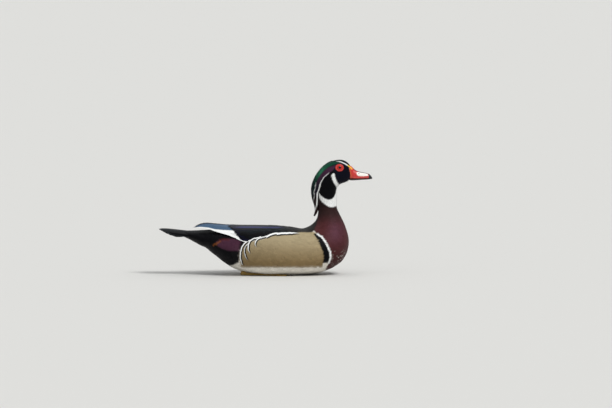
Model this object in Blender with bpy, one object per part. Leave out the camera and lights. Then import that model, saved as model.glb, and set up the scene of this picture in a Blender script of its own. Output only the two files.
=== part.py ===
# Drake wood duck, life size, resting on its belly with the feet tucked under.
# The bird faces -Y, +Z is up, and the floor is z = 0. Sizes below are millimetres.
import math

import bmesh
import bpy
from mathutils import Matrix, Vector

MM = 0.001
GAP = 0.3                     # clearance between solids that touch
FLESH_SEGMENTS = 28           # points round one ring of the body
RINGS_PER_STATION = 2         # rings from one station to the next

# The body is one tube from the bill to the tail. Each station joins a point of the
# upper outline to a point of the lower one, in the side view:
# upper (y, z), lower (y, z), half width, height of the widest place (0 to 1),
# squareness above it, squareness below it
STATIONS = (
    ((-151.0, 190.0), (-151.5, 169.0), 8.8, 0.42, 2.0, 2.0),    # face, at the bill
    ((-146.0, 196.6), (-145.0, 162.8), 13.0, 0.42, 2.2, 2.0),   # brow and chin
    ((-134.5, 202.2), (-135.0, 159.8), 17.6, 0.40, 2.6, 2.1),   # eye
    ((-118.0, 199.8), (-128.6, 155.8), 20.2, 0.42, 2.4, 2.2),   # crown
    ((-101.5, 190.5), (-125.4, 147.5), 20.6, 0.46, 2.2, 2.1),   # back of the head
    ((-92.5, 171.5), (-126.4, 138.5), 19.6, 0.50, 2.1, 2.1),    # nape, under the crest
    ((-91.5, 148.0), (-126.2, 129.0), 18.4, 0.50, 2.0, 2.0),    # white collar
    ((-92.5, 124.0), (-125.8, 118.5), 17.4, 0.50, 2.0, 2.0),    # thinnest of the neck
    ((-93.0, 107.5), (-130.6, 107.0), 18.8, 0.50, 2.0, 2.0),    # neck
    ((-88.8, 94.4), (-138.0, 92.3), 26.0, 0.50, 2.0, 2.0),      # base of the neck
    ((-76.5, 84.2), (-145.0, 73.0), 39.0, 0.52, 2.1, 2.1),      # shoulders
    ((-60.0, 79.4), (-147.4, 51.0), 53.0, 0.54, 2.2, 2.2),      # breast
    ((-42.0, 80.4), (-135.3, 22.5), 63.5, 0.53, 2.3, 2.4),      # fore body
    ((-20.0, 82.4), (-97.0, 3.4), 70.0, 0.51, 2.4, 2.6),        # keel
    ((5.0, 82.8), (-42.0, -0.9), 73.0, 0.49, 2.4, 2.75),        # middle
    ((32.0, 82.0), (14.0, -0.9), 70.0, 0.47, 2.35, 2.7),        # hind body
    ((60.0, 80.8), (58.0, 12.0), 59.0, 0.48, 2.2, 2.4),         # hips
    ((86.0, 79.6), (86.0, 32.0), 46.0, 0.52, 2.1, 2.1),         # vent
    ((108.0, 77.8), (107.0, 47.0), 36.0, 0.55, 2.0, 2.0),       # rump
    ((128.0, 77.0), (127.0, 57.5), 28.0, 0.60, 2.0, 2.0),       # tail coverts
    ((146.0, 77.2), (146.0, 66.0), 19.0, 0.65, 2.0, 2.0),       # tips of the coverts
    ((158.0, 77.4), (158.0, 73.8), 8.0, 0.60, 2.0, 2.0),        # their end, over the tail
)

# Planes that part the tube: a point (y, z) and a normal (y, z) that points tailward
NECK_TOP = ((-109.0, 119.5), (0.13, -1.0))
NECK_FOOT = ((-112.0, 88.5), (0.10, -1.0))
TAIL_ROOT = ((104.0, 60.0), (1.0, 0.0))

EYE_RADIUS = 6.1
EYE_CENTRE = (13.1, -130.3, 188.0)      # the left eye; the right one mirrors it

# The crest hangs behind the nape. Outer edge (y, z), inner edge (y, z), half width
CREST_STATIONS = (
    ((-116.0, 200.6), (-118.0, 191.0), 7.0),
    ((-105.2, 196.9), (-110.0, 180.0), 12.5),
    ((-93.6, 187.6), (-106.0, 170.0), 15.5),
    ((-85.2, 173.0), (-102.0, 158.0), 16.0),
    ((-80.6, 155.0), (-97.0, 144.0), 14.0),
    ((-81.8, 136.0), (-95.0, 130.0), 11.0),
    ((-86.2, 121.0), (-94.0, 117.5), 7.6),
    ((-87.0, 111.0), (-91.6, 109.5), 4.2),
    ((-84.8, 102.6), (-87.4, 102.2), 1.5),
)
CREST_SEGMENTS = 14

# Folded wing, left side: a band of a dome that sits over the back. For each y, the
# dome's top height, half width and base height, then the band's inner and outer x
WING_STATIONS = (
    (-72.0, 80.4, 64.0, 50.0, 30.0, 38.0),     # bend of the wing, at the shoulder
    (-60.0, 81.6, 67.0, 46.0, 17.0, 48.0),
    (-40.0, 84.2, 69.0, 44.0, 8.0, 54.0),
    (-12.0, 86.6, 71.5, 43.0, 5.0, 60.0),
    (18.0, 86.6, 71.5, 42.0, 4.5, 62.5),
    (45.0, 86.6, 66.5, 42.0, 4.5, 58.0),       # tips of the flank's long feathers
    (66.0, 87.8, 57.5, 44.0, 5.0, 46.0),
    (86.0, 90.2, 47.0, 50.0, 6.0, 33.0),
    (104.0, 92.2, 38.0, 60.0, 8.0, 23.0),
    (118.0, 90.2, 32.0, 66.0, 10.0, 18.5),
    (127.2, 85.4, 24.0, 70.0, 13.0, 15.6),     # tip of the longest quill
)
WING_SQUARENESS = 2.4
WING_DEPTH = 7.0              # the wing is solid this far inwards, or down to the trunk
WING_COLUMNS = 7
PRIMARIES_ROOT = ((48.0, 75.0), (1.0, 0.0))   # plane that parts the long quills

# Tail fan: y, height of the middle, half width, droop of the edges, thickness
TAIL_STATIONS = (
    (98.0, 74.5, 22.0, 5.0, 3.0),
    (118.0, 75.6, 26.5, 7.0, 2.8),
    (138.0, 77.4, 30.0, 9.0, 2.4),
    (156.0, 79.2, 31.5, 10.0, 2.0),
    (170.0, 80.6, 30.0, 9.5, 1.6),
    (179.0, 81.0, 25.0, 7.2, 1.4),
    (184.5, 80.6, 17.0, 4.0, 1.2),
    (187.6, 79.8, 7.0, 1.0, 1.0),
)
TAIL_COLUMNS = 14

# Bill: y, ridge height, edge height, half width, height of the widest place
UPPER_BILL_STATIONS = (
    (-151.9, 190.2, 168.9, 8.4, 0.12),
    (-156.0, 186.2, 168.7, 8.1, 0.12),
    (-161.0, 182.6, 168.6, 7.6, 0.14),
    (-168.0, 180.4, 168.6, 7.1, 0.18),
    (-176.0, 179.0, 168.8, 7.0, 0.22),
    (-182.0, 177.0, 168.9, 6.6, 0.30),
    (-185.6, 173.8, 168.6, 5.0, 0.35),
    (-187.7, 170.8, 168.4, 2.2, 0.45),
)
LOWER_BILL_STATIONS = (
    (-151.9, 168.3, 163.8, 6.6, 0.70),
    (-160.0, 168.2, 165.0, 6.2, 0.70),
    (-170.0, 168.2, 166.0, 5.9, 0.70),
    (-179.0, 168.4, 166.6, 5.4, 0.70),
    (-183.4, 168.3, 167.1, 3.4, 0.60),
)
BILL_SEGMENTS = 16

# Feet, left side: the shank lies on the floor and the webbed toes point forward
ANKLE = (37.0, 3.0)                        # x, y of the joint above the toes
HEEL = (32.0, 38.0)                         # x, y of the joint at the rear
SHANK_STATIONS = (                          # share of the way to the heel, height, half width
    (0.02, 6.4, 3.3),
    (0.20, 6.0, 2.7),
    (0.55, 6.2, 2.6),
    (0.85, 7.4, 3.3),
    (1.00, 8.6, 3.6),
    (1.08, 6.8, 2.2),
)
TOES = (                                    # bearing off straight ahead in degrees, length
    ("inner", -13.0, 37.0),
    ("middle", 3.0, 46.0),
    ("outer", 19.0, 43.0),
)
TOE_HEIGHT, TOE_HALF_ANGLE = 4.2, 4.6       # at the root; a toe's half width as an angle
WEB_HEIGHT, WEB_REACH = 1.2, 0.86           # web thickness, and its share of the toes' length
TOE_STEPS = (0.0, 0.1, 0.3, 0.6, 0.85, 1.0) # shares of a toe's length that hold points
TOE_HUB = 3.4                               # radius of the small circle the toes start on
TOE_THINNING, KNUCKLE_FALL = 0.62, 3.0      # how the toes, and the joint above them, thin out
CLAW_LENGTH, CLAW_RADIUS, CLAW_TIP = 5.5, 1.0, 0.25
CLAW_LIFT = 0.1                             # a claw's root clears the floor by this
CLAW_DROP = 0.7                             # a claw's tip is this much nearer to the floor
CLAW_STEPS, CLAW_SEGMENTS = (0.0, 0.5, 1.0), 8
HIND_TOE_START = (-4.4, 1.0, 2.2)           # from the toes' joint
HIND_TOE_REACH = (-9.0, 3.0, -1.2)          # from its start to its tip
HIND_TOE_RADIUS, HIND_TOE_TIP = 1.7, 0.7
SHANK_SEGMENTS = 12
SHANK_MIDDLE, SHANK_RISE = 0.47, 0.53       # shares of the height that make it round on top
WING_BULGE, WING_EDGE = 0.65, 0.45          # how the wing thickens inwards, and its thin edges
TAIL_EDGE_THINNING = 0.45
BILL_SQUARENESS = 2.3
EYE_SEGMENTS, EYE_RINGS = 16, 8
FLOOR_PLANE = ((0.0, 0.0), (0.0, -1.0))

COLOURS = {                                 # linear red, green, blue; roughness
    "chestnut": ((0.070, 0.022, 0.020), 0.55),
    "dark_gloss": ((0.010, 0.016, 0.018), 0.40),
    "green_gloss": ((0.012, 0.075, 0.045), 0.35),
    "buff": ((0.340, 0.270, 0.150), 0.65),
    "bill_red": ((0.560, 0.055, 0.045), 0.35),
    "bill_black": ((0.010, 0.010, 0.011), 0.35),
    "eye_red": ((0.520, 0.020, 0.012), 0.08),
    "foot_ochre": ((0.360, 0.210, 0.050), 0.55),
    "claw_black": ((0.015, 0.013, 0.012), 0.40),
}


def clear_scene():
    for obj in list(bpy.data.objects):
        bpy.data.objects.remove(obj)


def material(name):
    found = bpy.data.materials.get(name)
    if found:
        return found
    colour, roughness = COLOURS[name]
    made = bpy.data.materials.new(name)
    made.use_nodes = True
    shader = made.node_tree.nodes["Principled BSDF"]
    shader.inputs["Base Color"].default_value = (*colour, 1.0)
    shader.inputs["Roughness"].default_value = roughness
    shader.inputs["Metallic"].default_value = 0.0
    return made


def spline(rows, position):
    """Numbers on a smooth curve through rows, where position counts rows from 0."""
    last = len(rows) - 1
    i = min(int(position), last - 1)
    t = position - i
    before, start = rows[max(i - 1, 0)], rows[i]
    end, after = rows[i + 1], rows[min(i + 2, last)]
    return [
        0.5 * (2 * b + (c - a) * t + (2 * a - 5 * b + 4 * c - d) * t**2
               + (3 * b - a - 3 * c + d) * t**3)
        for a, b, c, d in zip(before, start, end, after)
    ]


def flat_numbers(station):
    numbers = []
    for entry in station:
        numbers += list(entry) if isinstance(entry, tuple) else [entry]
    return numbers


def resampled(stations, per_station):
    rows = [flat_numbers(station) for station in stations]
    steps = (len(rows) - 1) * per_station
    return [spline(rows, step / per_station) for step in range(steps + 1)]


def power(value, exponent):
    return math.copysign(abs(value) ** exponent, value)


def body_ring(upper, lower, half_width, widest, square_above, square_below, segments):
    """A rounded section between two points (y, z) of the side view."""
    points = []
    for k in range(segments):
        angle = 2 * math.pi * k / segments
        squareness = square_above if math.cos(angle) > 0 else square_below
        rise = power(math.cos(angle), 2 / squareness)
        height = widest + rise * (1 - widest if rise > 0 else widest)
        across = half_width * power(math.sin(angle), 2 / squareness)
        y = lower[0] + (upper[0] - lower[0]) * height
        z = lower[1] + (upper[1] - lower[1]) * height
        points.append(Vector((across, y, z)))
    return points


def loft(rings):
    """A closed mesh through rings that have as many points each."""
    bm = bmesh.new()
    loops = [[bm.verts.new(point) for point in ring] for ring in rings]
    count = len(loops[0])
    for first, second in zip(loops, loops[1:]):
        for k in range(count):
            following = (k + 1) % count
            bm.faces.new((first[k], first[following], second[following], second[k]))
    for end in (loops[0], loops[-1]):
        bm.faces.new(end)
    bmesh.ops.recalc_face_normals(bm, faces=bm.faces)
    return bm


def to_object(bm, name, colour=None):
    """Makes an object from a mesh in millimetres. One with no colour is a cutter."""
    bmesh.ops.scale(bm, vec=(MM, MM, MM), verts=bm.verts)
    mesh = bpy.data.meshes.new(name)
    bm.to_mesh(mesh)
    bm.free()
    mesh.shade_smooth()
    mesh.set_sharp_from_angle(angle=math.radians(50))
    obj = bpy.data.objects.new(name, mesh)
    bpy.context.scene.collection.objects.link(obj)
    if colour:
        mesh.materials.append(material(colour))
    else:
        obj.hide_render = True
        obj.display_type = "WIRE"
    return obj


def grown(bm, distance):
    """A copy of the mesh with every point moved out along its normal."""
    copy = bm.copy()
    copy.normal_update()
    moves = [(vert, vert.normal * distance) for vert in copy.verts]
    for vert, move in moves:
        vert.co += move
    return copy


def mirrored(bm):
    copy = bm.copy()
    bmesh.ops.scale(copy, vec=(-1, 1, 1), verts=copy.verts)
    bmesh.ops.reverse_faces(copy, faces=copy.faces)
    return copy


def cut_off(bm, point, normal, margin=GAP / 2):
    """Removes what lies past a plane that holds the X axis's direction, and caps the cut."""
    direction = Vector((0, *normal)).normalized()
    place = Vector((0, *point)) - direction * margin
    geometry = list(bm.verts) + list(bm.edges) + list(bm.faces)
    cut = bmesh.ops.bisect_plane(
        bm, geom=geometry, dist=1e-5, plane_co=place, plane_no=direction, clear_outer=True
    )
    edges = [item for item in cut["geom_cut"] if isinstance(item, bmesh.types.BMEdge)]
    bmesh.ops.holes_fill(bm, edges=edges, sides=0)
    bmesh.ops.recalc_face_normals(bm, faces=bm.faces)


def between(bm, ahead, behind):
    """The stretch of the mesh that lies tailward of one plane and ahead of the other."""
    piece = bm.copy()
    if ahead:
        point, normal = ahead
        cut_off(piece, point, (-normal[0], -normal[1]))
    if behind:
        cut_off(piece, *behind)
    return piece


def boolean(obj, other, operation):
    modifier = obj.modifiers.new(operation.title(), "BOOLEAN")
    modifier.operation = operation
    modifier.solver = "EXACT"
    modifier.object = other


def body_tube():
    rings = []
    for row in resampled(STATIONS, RINGS_PER_STATION):
        rings.append(body_ring(row[0:2], row[2:4], *row[4:8], FLESH_SEGMENTS))
    return loft(rings)


def floor_flat(bm):
    """Cuts the belly level with the floor, which leaves the flat that the bird rests on."""
    cut_off(bm, *FLOOR_PLANE, margin=0)


def crest():
    rings = []
    for row in resampled(CREST_STATIONS, 2):
        rings.append(body_ring(row[0:2], row[2:4], row[4], 0.5, 2.0, 2.0, CREST_SEGMENTS))
    return loft(rings)


def dome_height(x, top, half_width, base):
    rise = (1 - (x / half_width) ** WING_SQUARENESS) ** (1 / WING_SQUARENESS)
    return base + (top - base) * rise


def wing():
    """The left wing: bands of a dome, from the shoulder to the longest quill's tip."""
    rings = []
    for y, top, half_width, base, inner_x, outer_x in resampled(WING_STATIONS, 2):
        outside, inside = [], []
        depth = min(WING_DEPTH, WING_EDGE * (outer_x - inner_x))
        for k in range(WING_COLUMNS + 1):
            share = k / WING_COLUMNS
            x = inner_x + (outer_x - inner_x) * math.sin(math.pi / 2 * share)
            z = dome_height(x, top, half_width, base)
            inward = Vector((-x, 0, base - z - half_width / 3)).normalized()
            full = depth * (1 - WING_BULGE + WING_BULGE * math.sin(math.pi * share))
            outside.append(Vector((x, y, z)))
            inside.append(Vector((x, y, z)) + inward * full)
        rings.append(outside + inside[::-1])
    return loft(rings)


def tail_fan():
    """The closed tail: a thin plate, bowed so that its edges hang lower than its middle."""
    rings = []
    for y, height, half_width, droop, thickness in resampled(TAIL_STATIONS, 2):
        upper, lower = [], []
        for k in range(TAIL_COLUMNS + 1):
            across = 2 * k / TAIL_COLUMNS - 1
            z = height - droop * across**2
            thin = thickness * (1 - TAIL_EDGE_THINNING * across**2)
            upper.append(Vector((half_width * across, y, z)))
            lower.append(Vector((half_width * across, y, z - thin)))
        rings.append(upper + lower[::-1])
    return loft(rings)


def bill_half(stations):
    rings = []
    for y, top, bottom, half_width, widest in resampled(stations, 2):
        rings.append(body_ring(
            (y, top), (y, bottom), half_width, widest,
            BILL_SQUARENESS, BILL_SQUARENESS, BILL_SEGMENTS,
        ))
    return loft(rings)


def shank():
    """The lower leg, from the toes' joint back to the heel, with its sole on the floor."""
    ankle, heel = Vector(ANKLE), Vector(HEEL)
    side = Vector((heel.y - ankle.y, ankle.x - heel.x)).normalized()
    rings = []
    for share, height, half_width in resampled(SHANK_STATIONS, 2):
        centre = ankle.lerp(heel, share)
        ring = []
        for k in range(SHANK_SEGMENTS):
            angle = 2 * math.pi * k / SHANK_SEGMENTS
            across = side * half_width * math.sin(angle)
            z = height * (SHANK_MIDDLE + SHANK_RISE * math.cos(angle))
            ring.append(Vector((centre.x + across.x, centre.y + across.y, z)))
        rings.append(ring)
    bm = loft(rings)
    floor_flat(bm)
    return bm


def toe_share(bearing):
    """How far a bearing is along the toe nearest to it: 1 on its middle line, 0 off it."""
    nearest = min(abs(bearing - toe[1]) for toe in TOES)
    return max(0.0, 1 - nearest / TOE_HALF_ANGLE)


def toe_reach(bearing):
    """Length of the foot on a bearing: a toe's own, or the web's scalloped edge."""
    first, last = TOES[0], TOES[-1]
    bearing = min(max(bearing, first[1]), last[1])
    for inner, outer in zip(TOES, TOES[1:]):
        if inner[1] <= bearing <= outer[1]:
            share = (bearing - inner[1]) / (outer[1] - inner[1])
            length = inner[2] + (outer[2] - inner[2]) * share
            scallop = 1 - (1 - WEB_REACH) * math.sin(math.pi * share)
    web = length * scallop
    return web + (length - web) * toe_share(bearing)


def foot():
    """Three toes and their webs: a fan of spokes that is flat below and ridged above."""
    root = Vector(ANKLE)
    bearings = []
    for _, bearing, _ in TOES:
        bearings += [bearing + TOE_HALF_ANGLE * step / 2 for step in (-2, -1, 0, 1, 2)]
    for inner, outer in zip(TOES, TOES[1:]):
        bearings.append((inner[1] + outer[1]) / 2)
    bearings.sort()
    bm = bmesh.new()
    tops, soles = [], []
    for bearing in bearings:
        angle = math.radians(bearing)
        ahead = Vector((math.sin(angle), -math.cos(angle)))
        reach, ridge = toe_reach(bearing), toe_share(bearing)
        top_row, sole_row = [], []
        for share in TOE_STEPS:
            place = root + ahead * (TOE_HUB + (reach - TOE_HUB) * share)
            fall = 1 - TOE_THINNING * share
            height = WEB_HEIGHT + (TOE_HEIGHT * fall - WEB_HEIGHT) * ridge
            height = max(height, TOE_HEIGHT * (1 - KNUCKLE_FALL * share))
            top_row.append(bm.verts.new((place.x, place.y, height)))
            sole_row.append(bm.verts.new((place.x, place.y, 0.0)))
        tops.append(top_row)
        soles.append(sole_row)
    last = len(TOE_STEPS) - 1
    for a in range(len(bearings) - 1):
        for s in range(last):
            bm.faces.new((tops[a][s], tops[a][s + 1], tops[a + 1][s + 1], tops[a + 1][s]))
            bm.faces.new((soles[a][s], soles[a + 1][s], soles[a + 1][s + 1], soles[a][s + 1]))
        for s in (0, last):
            bm.faces.new((tops[a][s], tops[a + 1][s], soles[a + 1][s], soles[a][s]))
    for a in (0, len(bearings) - 1):
        for s in range(last):
            bm.faces.new((tops[a][s], tops[a][s + 1], soles[a][s + 1], soles[a][s]))
    bmesh.ops.recalc_face_normals(bm, faces=bm.faces)
    return bm


def cone(base, tip, base_radius, tip_radius):
    """A claw or small toe between two points, standing on the floor."""
    axis = tip - base
    side = Vector((-axis.y, axis.x, 0)).normalized()
    up = Vector((0, 0, 1))
    rings = []
    for share in CLAW_STEPS:
        radius = base_radius + (tip_radius - base_radius) * share
        centre = base.lerp(tip, share)
        rings.append([
            centre + (side * math.sin(a) + up * math.cos(a)) * radius
            for a in (2 * math.pi * k / CLAW_SEGMENTS for k in range(CLAW_SEGMENTS))
        ])
    return loft(rings)


def claw(bearing, reach):
    angle = math.radians(bearing)
    ahead = Vector((math.sin(angle), -math.cos(angle), 0))
    start = Vector((*ANKLE, CLAW_RADIUS + CLAW_LIFT)) + ahead * (reach + GAP)
    finish = start + ahead * CLAW_LENGTH - Vector((0, 0, CLAW_DROP))
    return cone(start, finish, CLAW_RADIUS, CLAW_TIP)


def hind_toe():
    """The short toe that points back and in from the joint."""
    start = Vector((*ANKLE, 0.0)) + Vector(HIND_TOE_START)
    return cone(start, start + Vector(HIND_TOE_REACH), HIND_TOE_RADIUS, HIND_TOE_TIP)


def both_sides(bm, name, colour):
    """Left and right objects from the left mesh."""
    right = to_object(mirrored(bm), name + "_right", colour)
    left = to_object(bm, name + "_left", colour)
    return left, right


def eyes():
    made = []
    for side, sign in (("left", 1), ("right", -1)):
        for name, radius, colour in (
            ("eye_" + side, EYE_RADIUS, "eye_red"),
            ("socket_" + side, EYE_RADIUS + GAP, None),
        ):
            bm = bmesh.new()
            bmesh.ops.create_uvsphere(
                bm, u_segments=EYE_SEGMENTS, v_segments=EYE_RINGS, radius=radius
            )
            x, y, z = EYE_CENTRE
            turn = Matrix.Rotation(math.radians(90), 4, "Y")
            place = Matrix.Translation((sign * x, y, z))
            bmesh.ops.transform(bm, matrix=place @ turn, verts=bm.verts)
            made.append(to_object(bm, name, colour))
    return made[1], made[3]


def build():
    clear_scene()
    tube = body_tube()
    grown_tube = to_object(grown(tube, GAP * 1.5), "cutter_body")

    head = to_object(between(tube, None, NECK_TOP), "head", "green_gloss")
    to_object(between(tube, NECK_TOP, NECK_FOOT), "neck", "chestnut")
    trunk_mesh = between(tube, NECK_FOOT, TAIL_ROOT)
    floor_flat(trunk_mesh)
    trunk = to_object(trunk_mesh, "trunk", "buff")
    tail = to_object(between(tube, TAIL_ROOT, None), "tail", "dark_gloss")
    tube.free()

    fan = tail_fan()
    cut_off(fan, TAIL_ROOT[0], (-1.0, 0.0))
    boolean(tail, to_object(fan, "cutter_fan"), "UNION")

    for socket in eyes():
        boolean(head, socket, "DIFFERENCE")

    boolean(to_object(crest(), "crest", "green_gloss"), grown_tube, "DIFFERENCE")

    whole_wing = wing()
    wing_pieces = both_sides(between(whole_wing, None, PRIMARIES_ROOT), "wing", "dark_gloss")
    quills = between(whole_wing, PRIMARIES_ROOT, None)
    wing_pieces += both_sides(quills, "primaries", "dark_gloss")
    whole_wing.free()
    for piece in wing_pieces:
        boolean(piece, grown_tube, "DIFFERENCE")

    to_object(bill_half(UPPER_BILL_STATIONS), "bill_upper", "bill_red")
    to_object(bill_half(LOWER_BILL_STATIONS), "bill_lower", "bill_black")

    leg_mesh, foot_mesh, hind_mesh = shank(), foot(), hind_toe()
    claws = [(name, claw(bearing, length)) for name, bearing, length in TOES]
    for left_mesh in (leg_mesh, foot_mesh, hind_mesh, claws[0][1]):
        for mesh in (left_mesh.copy(), mirrored(left_mesh)):
            clearance = to_object(grown(mesh, GAP * 1.5), "cutter_foot")
            boolean(trunk, clearance, "DIFFERENCE")
            mesh.free()
    both_sides(foot_mesh, "foot", "foot_ochre")
    both_sides(leg_mesh, "leg", "foot_ochre")
    both_sides(hind_mesh, "hind_toe", "foot_ochre")
    for name, claw_mesh in claws:
        both_sides(claw_mesh, "claw_" + name, "claw_black")


build()
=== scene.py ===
import math

import bpy
import numpy as np
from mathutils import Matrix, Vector
from mathutils.bvhtree import BVHTree
from mathutils.kdtree import KDTree


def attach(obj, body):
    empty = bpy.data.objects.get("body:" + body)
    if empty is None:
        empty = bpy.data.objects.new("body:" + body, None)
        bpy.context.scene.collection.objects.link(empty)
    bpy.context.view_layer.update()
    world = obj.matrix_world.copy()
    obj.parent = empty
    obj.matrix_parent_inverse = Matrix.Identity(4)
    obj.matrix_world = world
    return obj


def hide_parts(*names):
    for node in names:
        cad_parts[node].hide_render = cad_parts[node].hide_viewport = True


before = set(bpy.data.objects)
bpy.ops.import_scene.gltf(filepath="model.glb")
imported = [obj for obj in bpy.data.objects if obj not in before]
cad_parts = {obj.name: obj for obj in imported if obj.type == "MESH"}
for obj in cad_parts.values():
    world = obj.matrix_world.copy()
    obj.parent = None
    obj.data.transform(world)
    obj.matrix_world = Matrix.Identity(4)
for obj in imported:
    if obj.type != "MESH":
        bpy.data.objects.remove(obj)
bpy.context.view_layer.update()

# A drake wood duck, life size. It faces -Y, +Z is up, and its belly rests on z = 0.
# Sizes are millimetres unless a name says otherwise, and MM turns them into metres.
MM = 0.001
CAMERA_RISE = 0.061          # the photograph looks down a little: tangent of 3.5 degrees
FLOOR_GAP = 0.05             # feathers stay this far above the floor
SIDES = ((-1, "right"), (1, "left"))
rng = np.random.default_rng(20)


# ---------------------------------------------------------------- small helpers
def nothing_selected():
    for obj in bpy.context.selected_objects:
        obj.select_set(False)


def linear(code):
    """An sRGB hex colour as linear red, green and blue."""
    parts = [int(code[i:i + 2], 16) / 255 for i in (1, 3, 5)]
    return np.array([p / 12.92 if p <= 0.04045 else ((p + 0.055) / 1.055) ** 2.4 for p in parts])


def rgba(code):
    return (*linear(code), 1)


def set_inputs(node, inputs):
    """Gives each input of a node its value, or links it to the socket given for it."""
    for key, value in inputs.items():
        if isinstance(value, bpy.types.NodeSocket):
            node.id_data.links.new(value, node.inputs[key])
        else:
            node.inputs[key].default_value = value


def add_node(tree, kind, inputs=None, **settings):
    """Adds one node with its settings and inputs."""
    made = tree.nodes.new(kind)
    for key, value in settings.items():
        setattr(made, key, value)
    set_inputs(made, inputs or {})
    return made


def new_material(name):
    """A material, its node tree and its Principled shader."""
    made = bpy.data.materials.new(name)
    made.use_nodes = True
    tree = made.node_tree
    return made, tree, tree.nodes["Principled BSDF"]


def unit(vectors):
    return vectors / np.maximum(np.linalg.norm(vectors, axis=-1, keepdims=True), 1e-9)


def round_angles(count):
    """Even angles round a circle."""
    return np.arange(count) * 2 * math.pi / count


def curve_through(rows, position):
    """Rows of numbers joined by a smooth curve, read at positions that count rows from 0."""
    rows = np.asarray(rows, float)
    position = np.clip(np.atleast_1d(position), 0, len(rows) - 1)
    i = np.minimum(position.astype(int), len(rows) - 2)
    t = (position - i)[:, None]
    a, b = rows[np.maximum(i - 1, 0)], rows[i]
    c, d = rows[i + 1], rows[np.minimum(i + 2, len(rows) - 1)]
    return 0.5 * (2 * b + (c - a) * t + (2 * a - 5 * b + 4 * c - d) * t**2
                  + (3 * b - a - 3 * c + d) * t**3)


def tree_of(*names):
    """A ray target made of CAD nodes, in millimetres."""
    points, faces = [], []
    for name in names:
        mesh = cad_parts[name].data
        start = len(points)
        points += [v.co / MM for v in mesh.vertices]
        faces += [[start + i for i in p.vertices] for p in mesh.polygons]
    return BVHTree.FromPolygons(points, faces)


THIN_CUT = 1.2


def outermost(target, centre, direction, reach):
    """Distance from inside a body to its outside, going on through the thin cuts in it."""
    distance = 0.0
    found = None
    while distance < reach:
        hit = target.ray_cast(centre + direction * (distance + 1e-3), direction, reach - distance)
        if hit[0] is None:
            break
        step = (hit[0] - centre).length
        leaving = hit[1].dot(direction) > 0
        if not leaving and found is not None and step - found > THIN_CUT:
            break
        if leaving:
            found = step
        distance = step
    return found


def smoothed(values, rounds, around):
    """Numbers on a grid, evened out along its rows and, where it closes, around it."""
    for _ in range(rounds):
        along = np.concatenate([values[:1], values, values[-1:]])
        values = (along[:-2] + 2 * along[1:-1] + along[2:]) / 4
        if around:
            side = np.concatenate([values[:, -1:], values, values[:, :1]], axis=1)
        else:
            side = np.concatenate([values[:, :1], values, values[:, -1:]], axis=1)
        values = (side[:, :-2] + 2 * side[:, 1:-1] + side[:, 2:]) / 4
    return values


def filled_in(values, holes):
    """The grid, closed around, with its holes filled smoothly from what is round them."""
    values = values.copy()
    values[holes] = np.nanmean(values[~holes])
    for _ in range(250):
        values[holes] = smoothed(values, 1, True)[holes]
    return values


class Surface:
    """A smooth sheet of points on a grid. u counts rows and v counts columns."""

    def __init__(self, points, around, centre_of_row):
        self.points, self.around = points, around
        self.rows, self.columns = points.shape[:2]
        self.along = np.gradient(points, axis=0)
        if around:
            self.across = (np.roll(points, -1, 1) - np.roll(points, 1, 1)) / 2
        else:
            self.across = np.gradient(points, axis=1)
        normal = unit(np.cross(self.along, self.across))
        outwards = points - centre_of_row[:, None, :]
        if (normal * outwards).sum() < 0:
            normal = -normal
        self.normal = normal
        self.area = np.linalg.norm(np.cross(self.along, self.across), axis=2)

    def read(self, field, u, v):
        u = np.clip(u, 0, self.rows - 1.001)
        i = u.astype(int)
        if self.around:
            v = np.mod(v, self.columns)
            j = v.astype(int) % self.columns
            k = (j + 1) % self.columns
        else:
            v = np.clip(v, 0, self.columns - 1.001)
            j = v.astype(int)
            k = j + 1
        s, t = (u - i)[:, None], (v - np.floor(v))[:, None]
        low = field[i, j] * (1 - t) + field[i, k] * t
        high = field[i + 1, j] * (1 - t) + field[i + 1, k] * t
        return low * (1 - s) + high * s


# ---------------------------------------------------------------- the body's own shape
# Lines across the side view, from the back to the belly: upper y, z, lower y, z.
SPINE = (
    (-150.6, 190.4, -151.1, 169.0),    # at the bill
    (-146.0, 196.6, -145.0, 162.8),
    (-134.5, 202.2, -135.0, 159.8),    # through the eye
    (-118.0, 199.8, -128.6, 155.8),
    (-101.5, 190.5, -125.4, 147.5),    # back of the head
    (-92.5, 171.5, -126.4, 138.5),
    (-91.5, 148.0, -126.2, 129.0),
    (-92.5, 124.0, -125.8, 118.5),     # thinnest of the neck
    (-93.0, 107.5, -130.6, 107.0),
    (-88.8, 94.4, -138.0, 92.3),
    (-76.5, 84.2, -145.0, 73.0),       # shoulders
    (-60.0, 80.6, -147.4, 51.0),
    (-42.0, 81.2, -135.3, 22.5),
    (-20.0, 82.4, -97.0, 3.4),
    (5.0, 82.8, -42.0, 0.0),           # middle
    (32.0, 82.0, 14.0, 0.0),
    (60.0, 80.8, 58.0, 12.0),          # hips
    (86.0, 79.6, 86.0, 32.0),
    (108.0, 77.8, 107.0, 47.0),        # rump
)
# Past the rump the body thins under the tail coverts: y, top z, bottom z, half width
TAIL_STUMP = (
    (108.0, 77.8, 47.0, 36.0),
    (120.0, 77.2, 53.4, 31.0),
    (134.0, 77.0, 60.2, 24.5),
    (146.0, 77.0, 66.0, 17.5),
    (155.0, 77.2, 71.0, 10.0),
)
ROW_STEP = 1.7               # from one row of the body's grid to the next
AROUND = 128                 # columns round the body
EYE, EYE_RADIUS = Vector((13.1, -130.3, 188.0)), 6.1


def lengths_along(places):
    """How far along a line each of its places lies."""
    return np.concatenate([[0], np.cumsum(np.linalg.norm(np.diff(places, axis=0), axis=1))])


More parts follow.
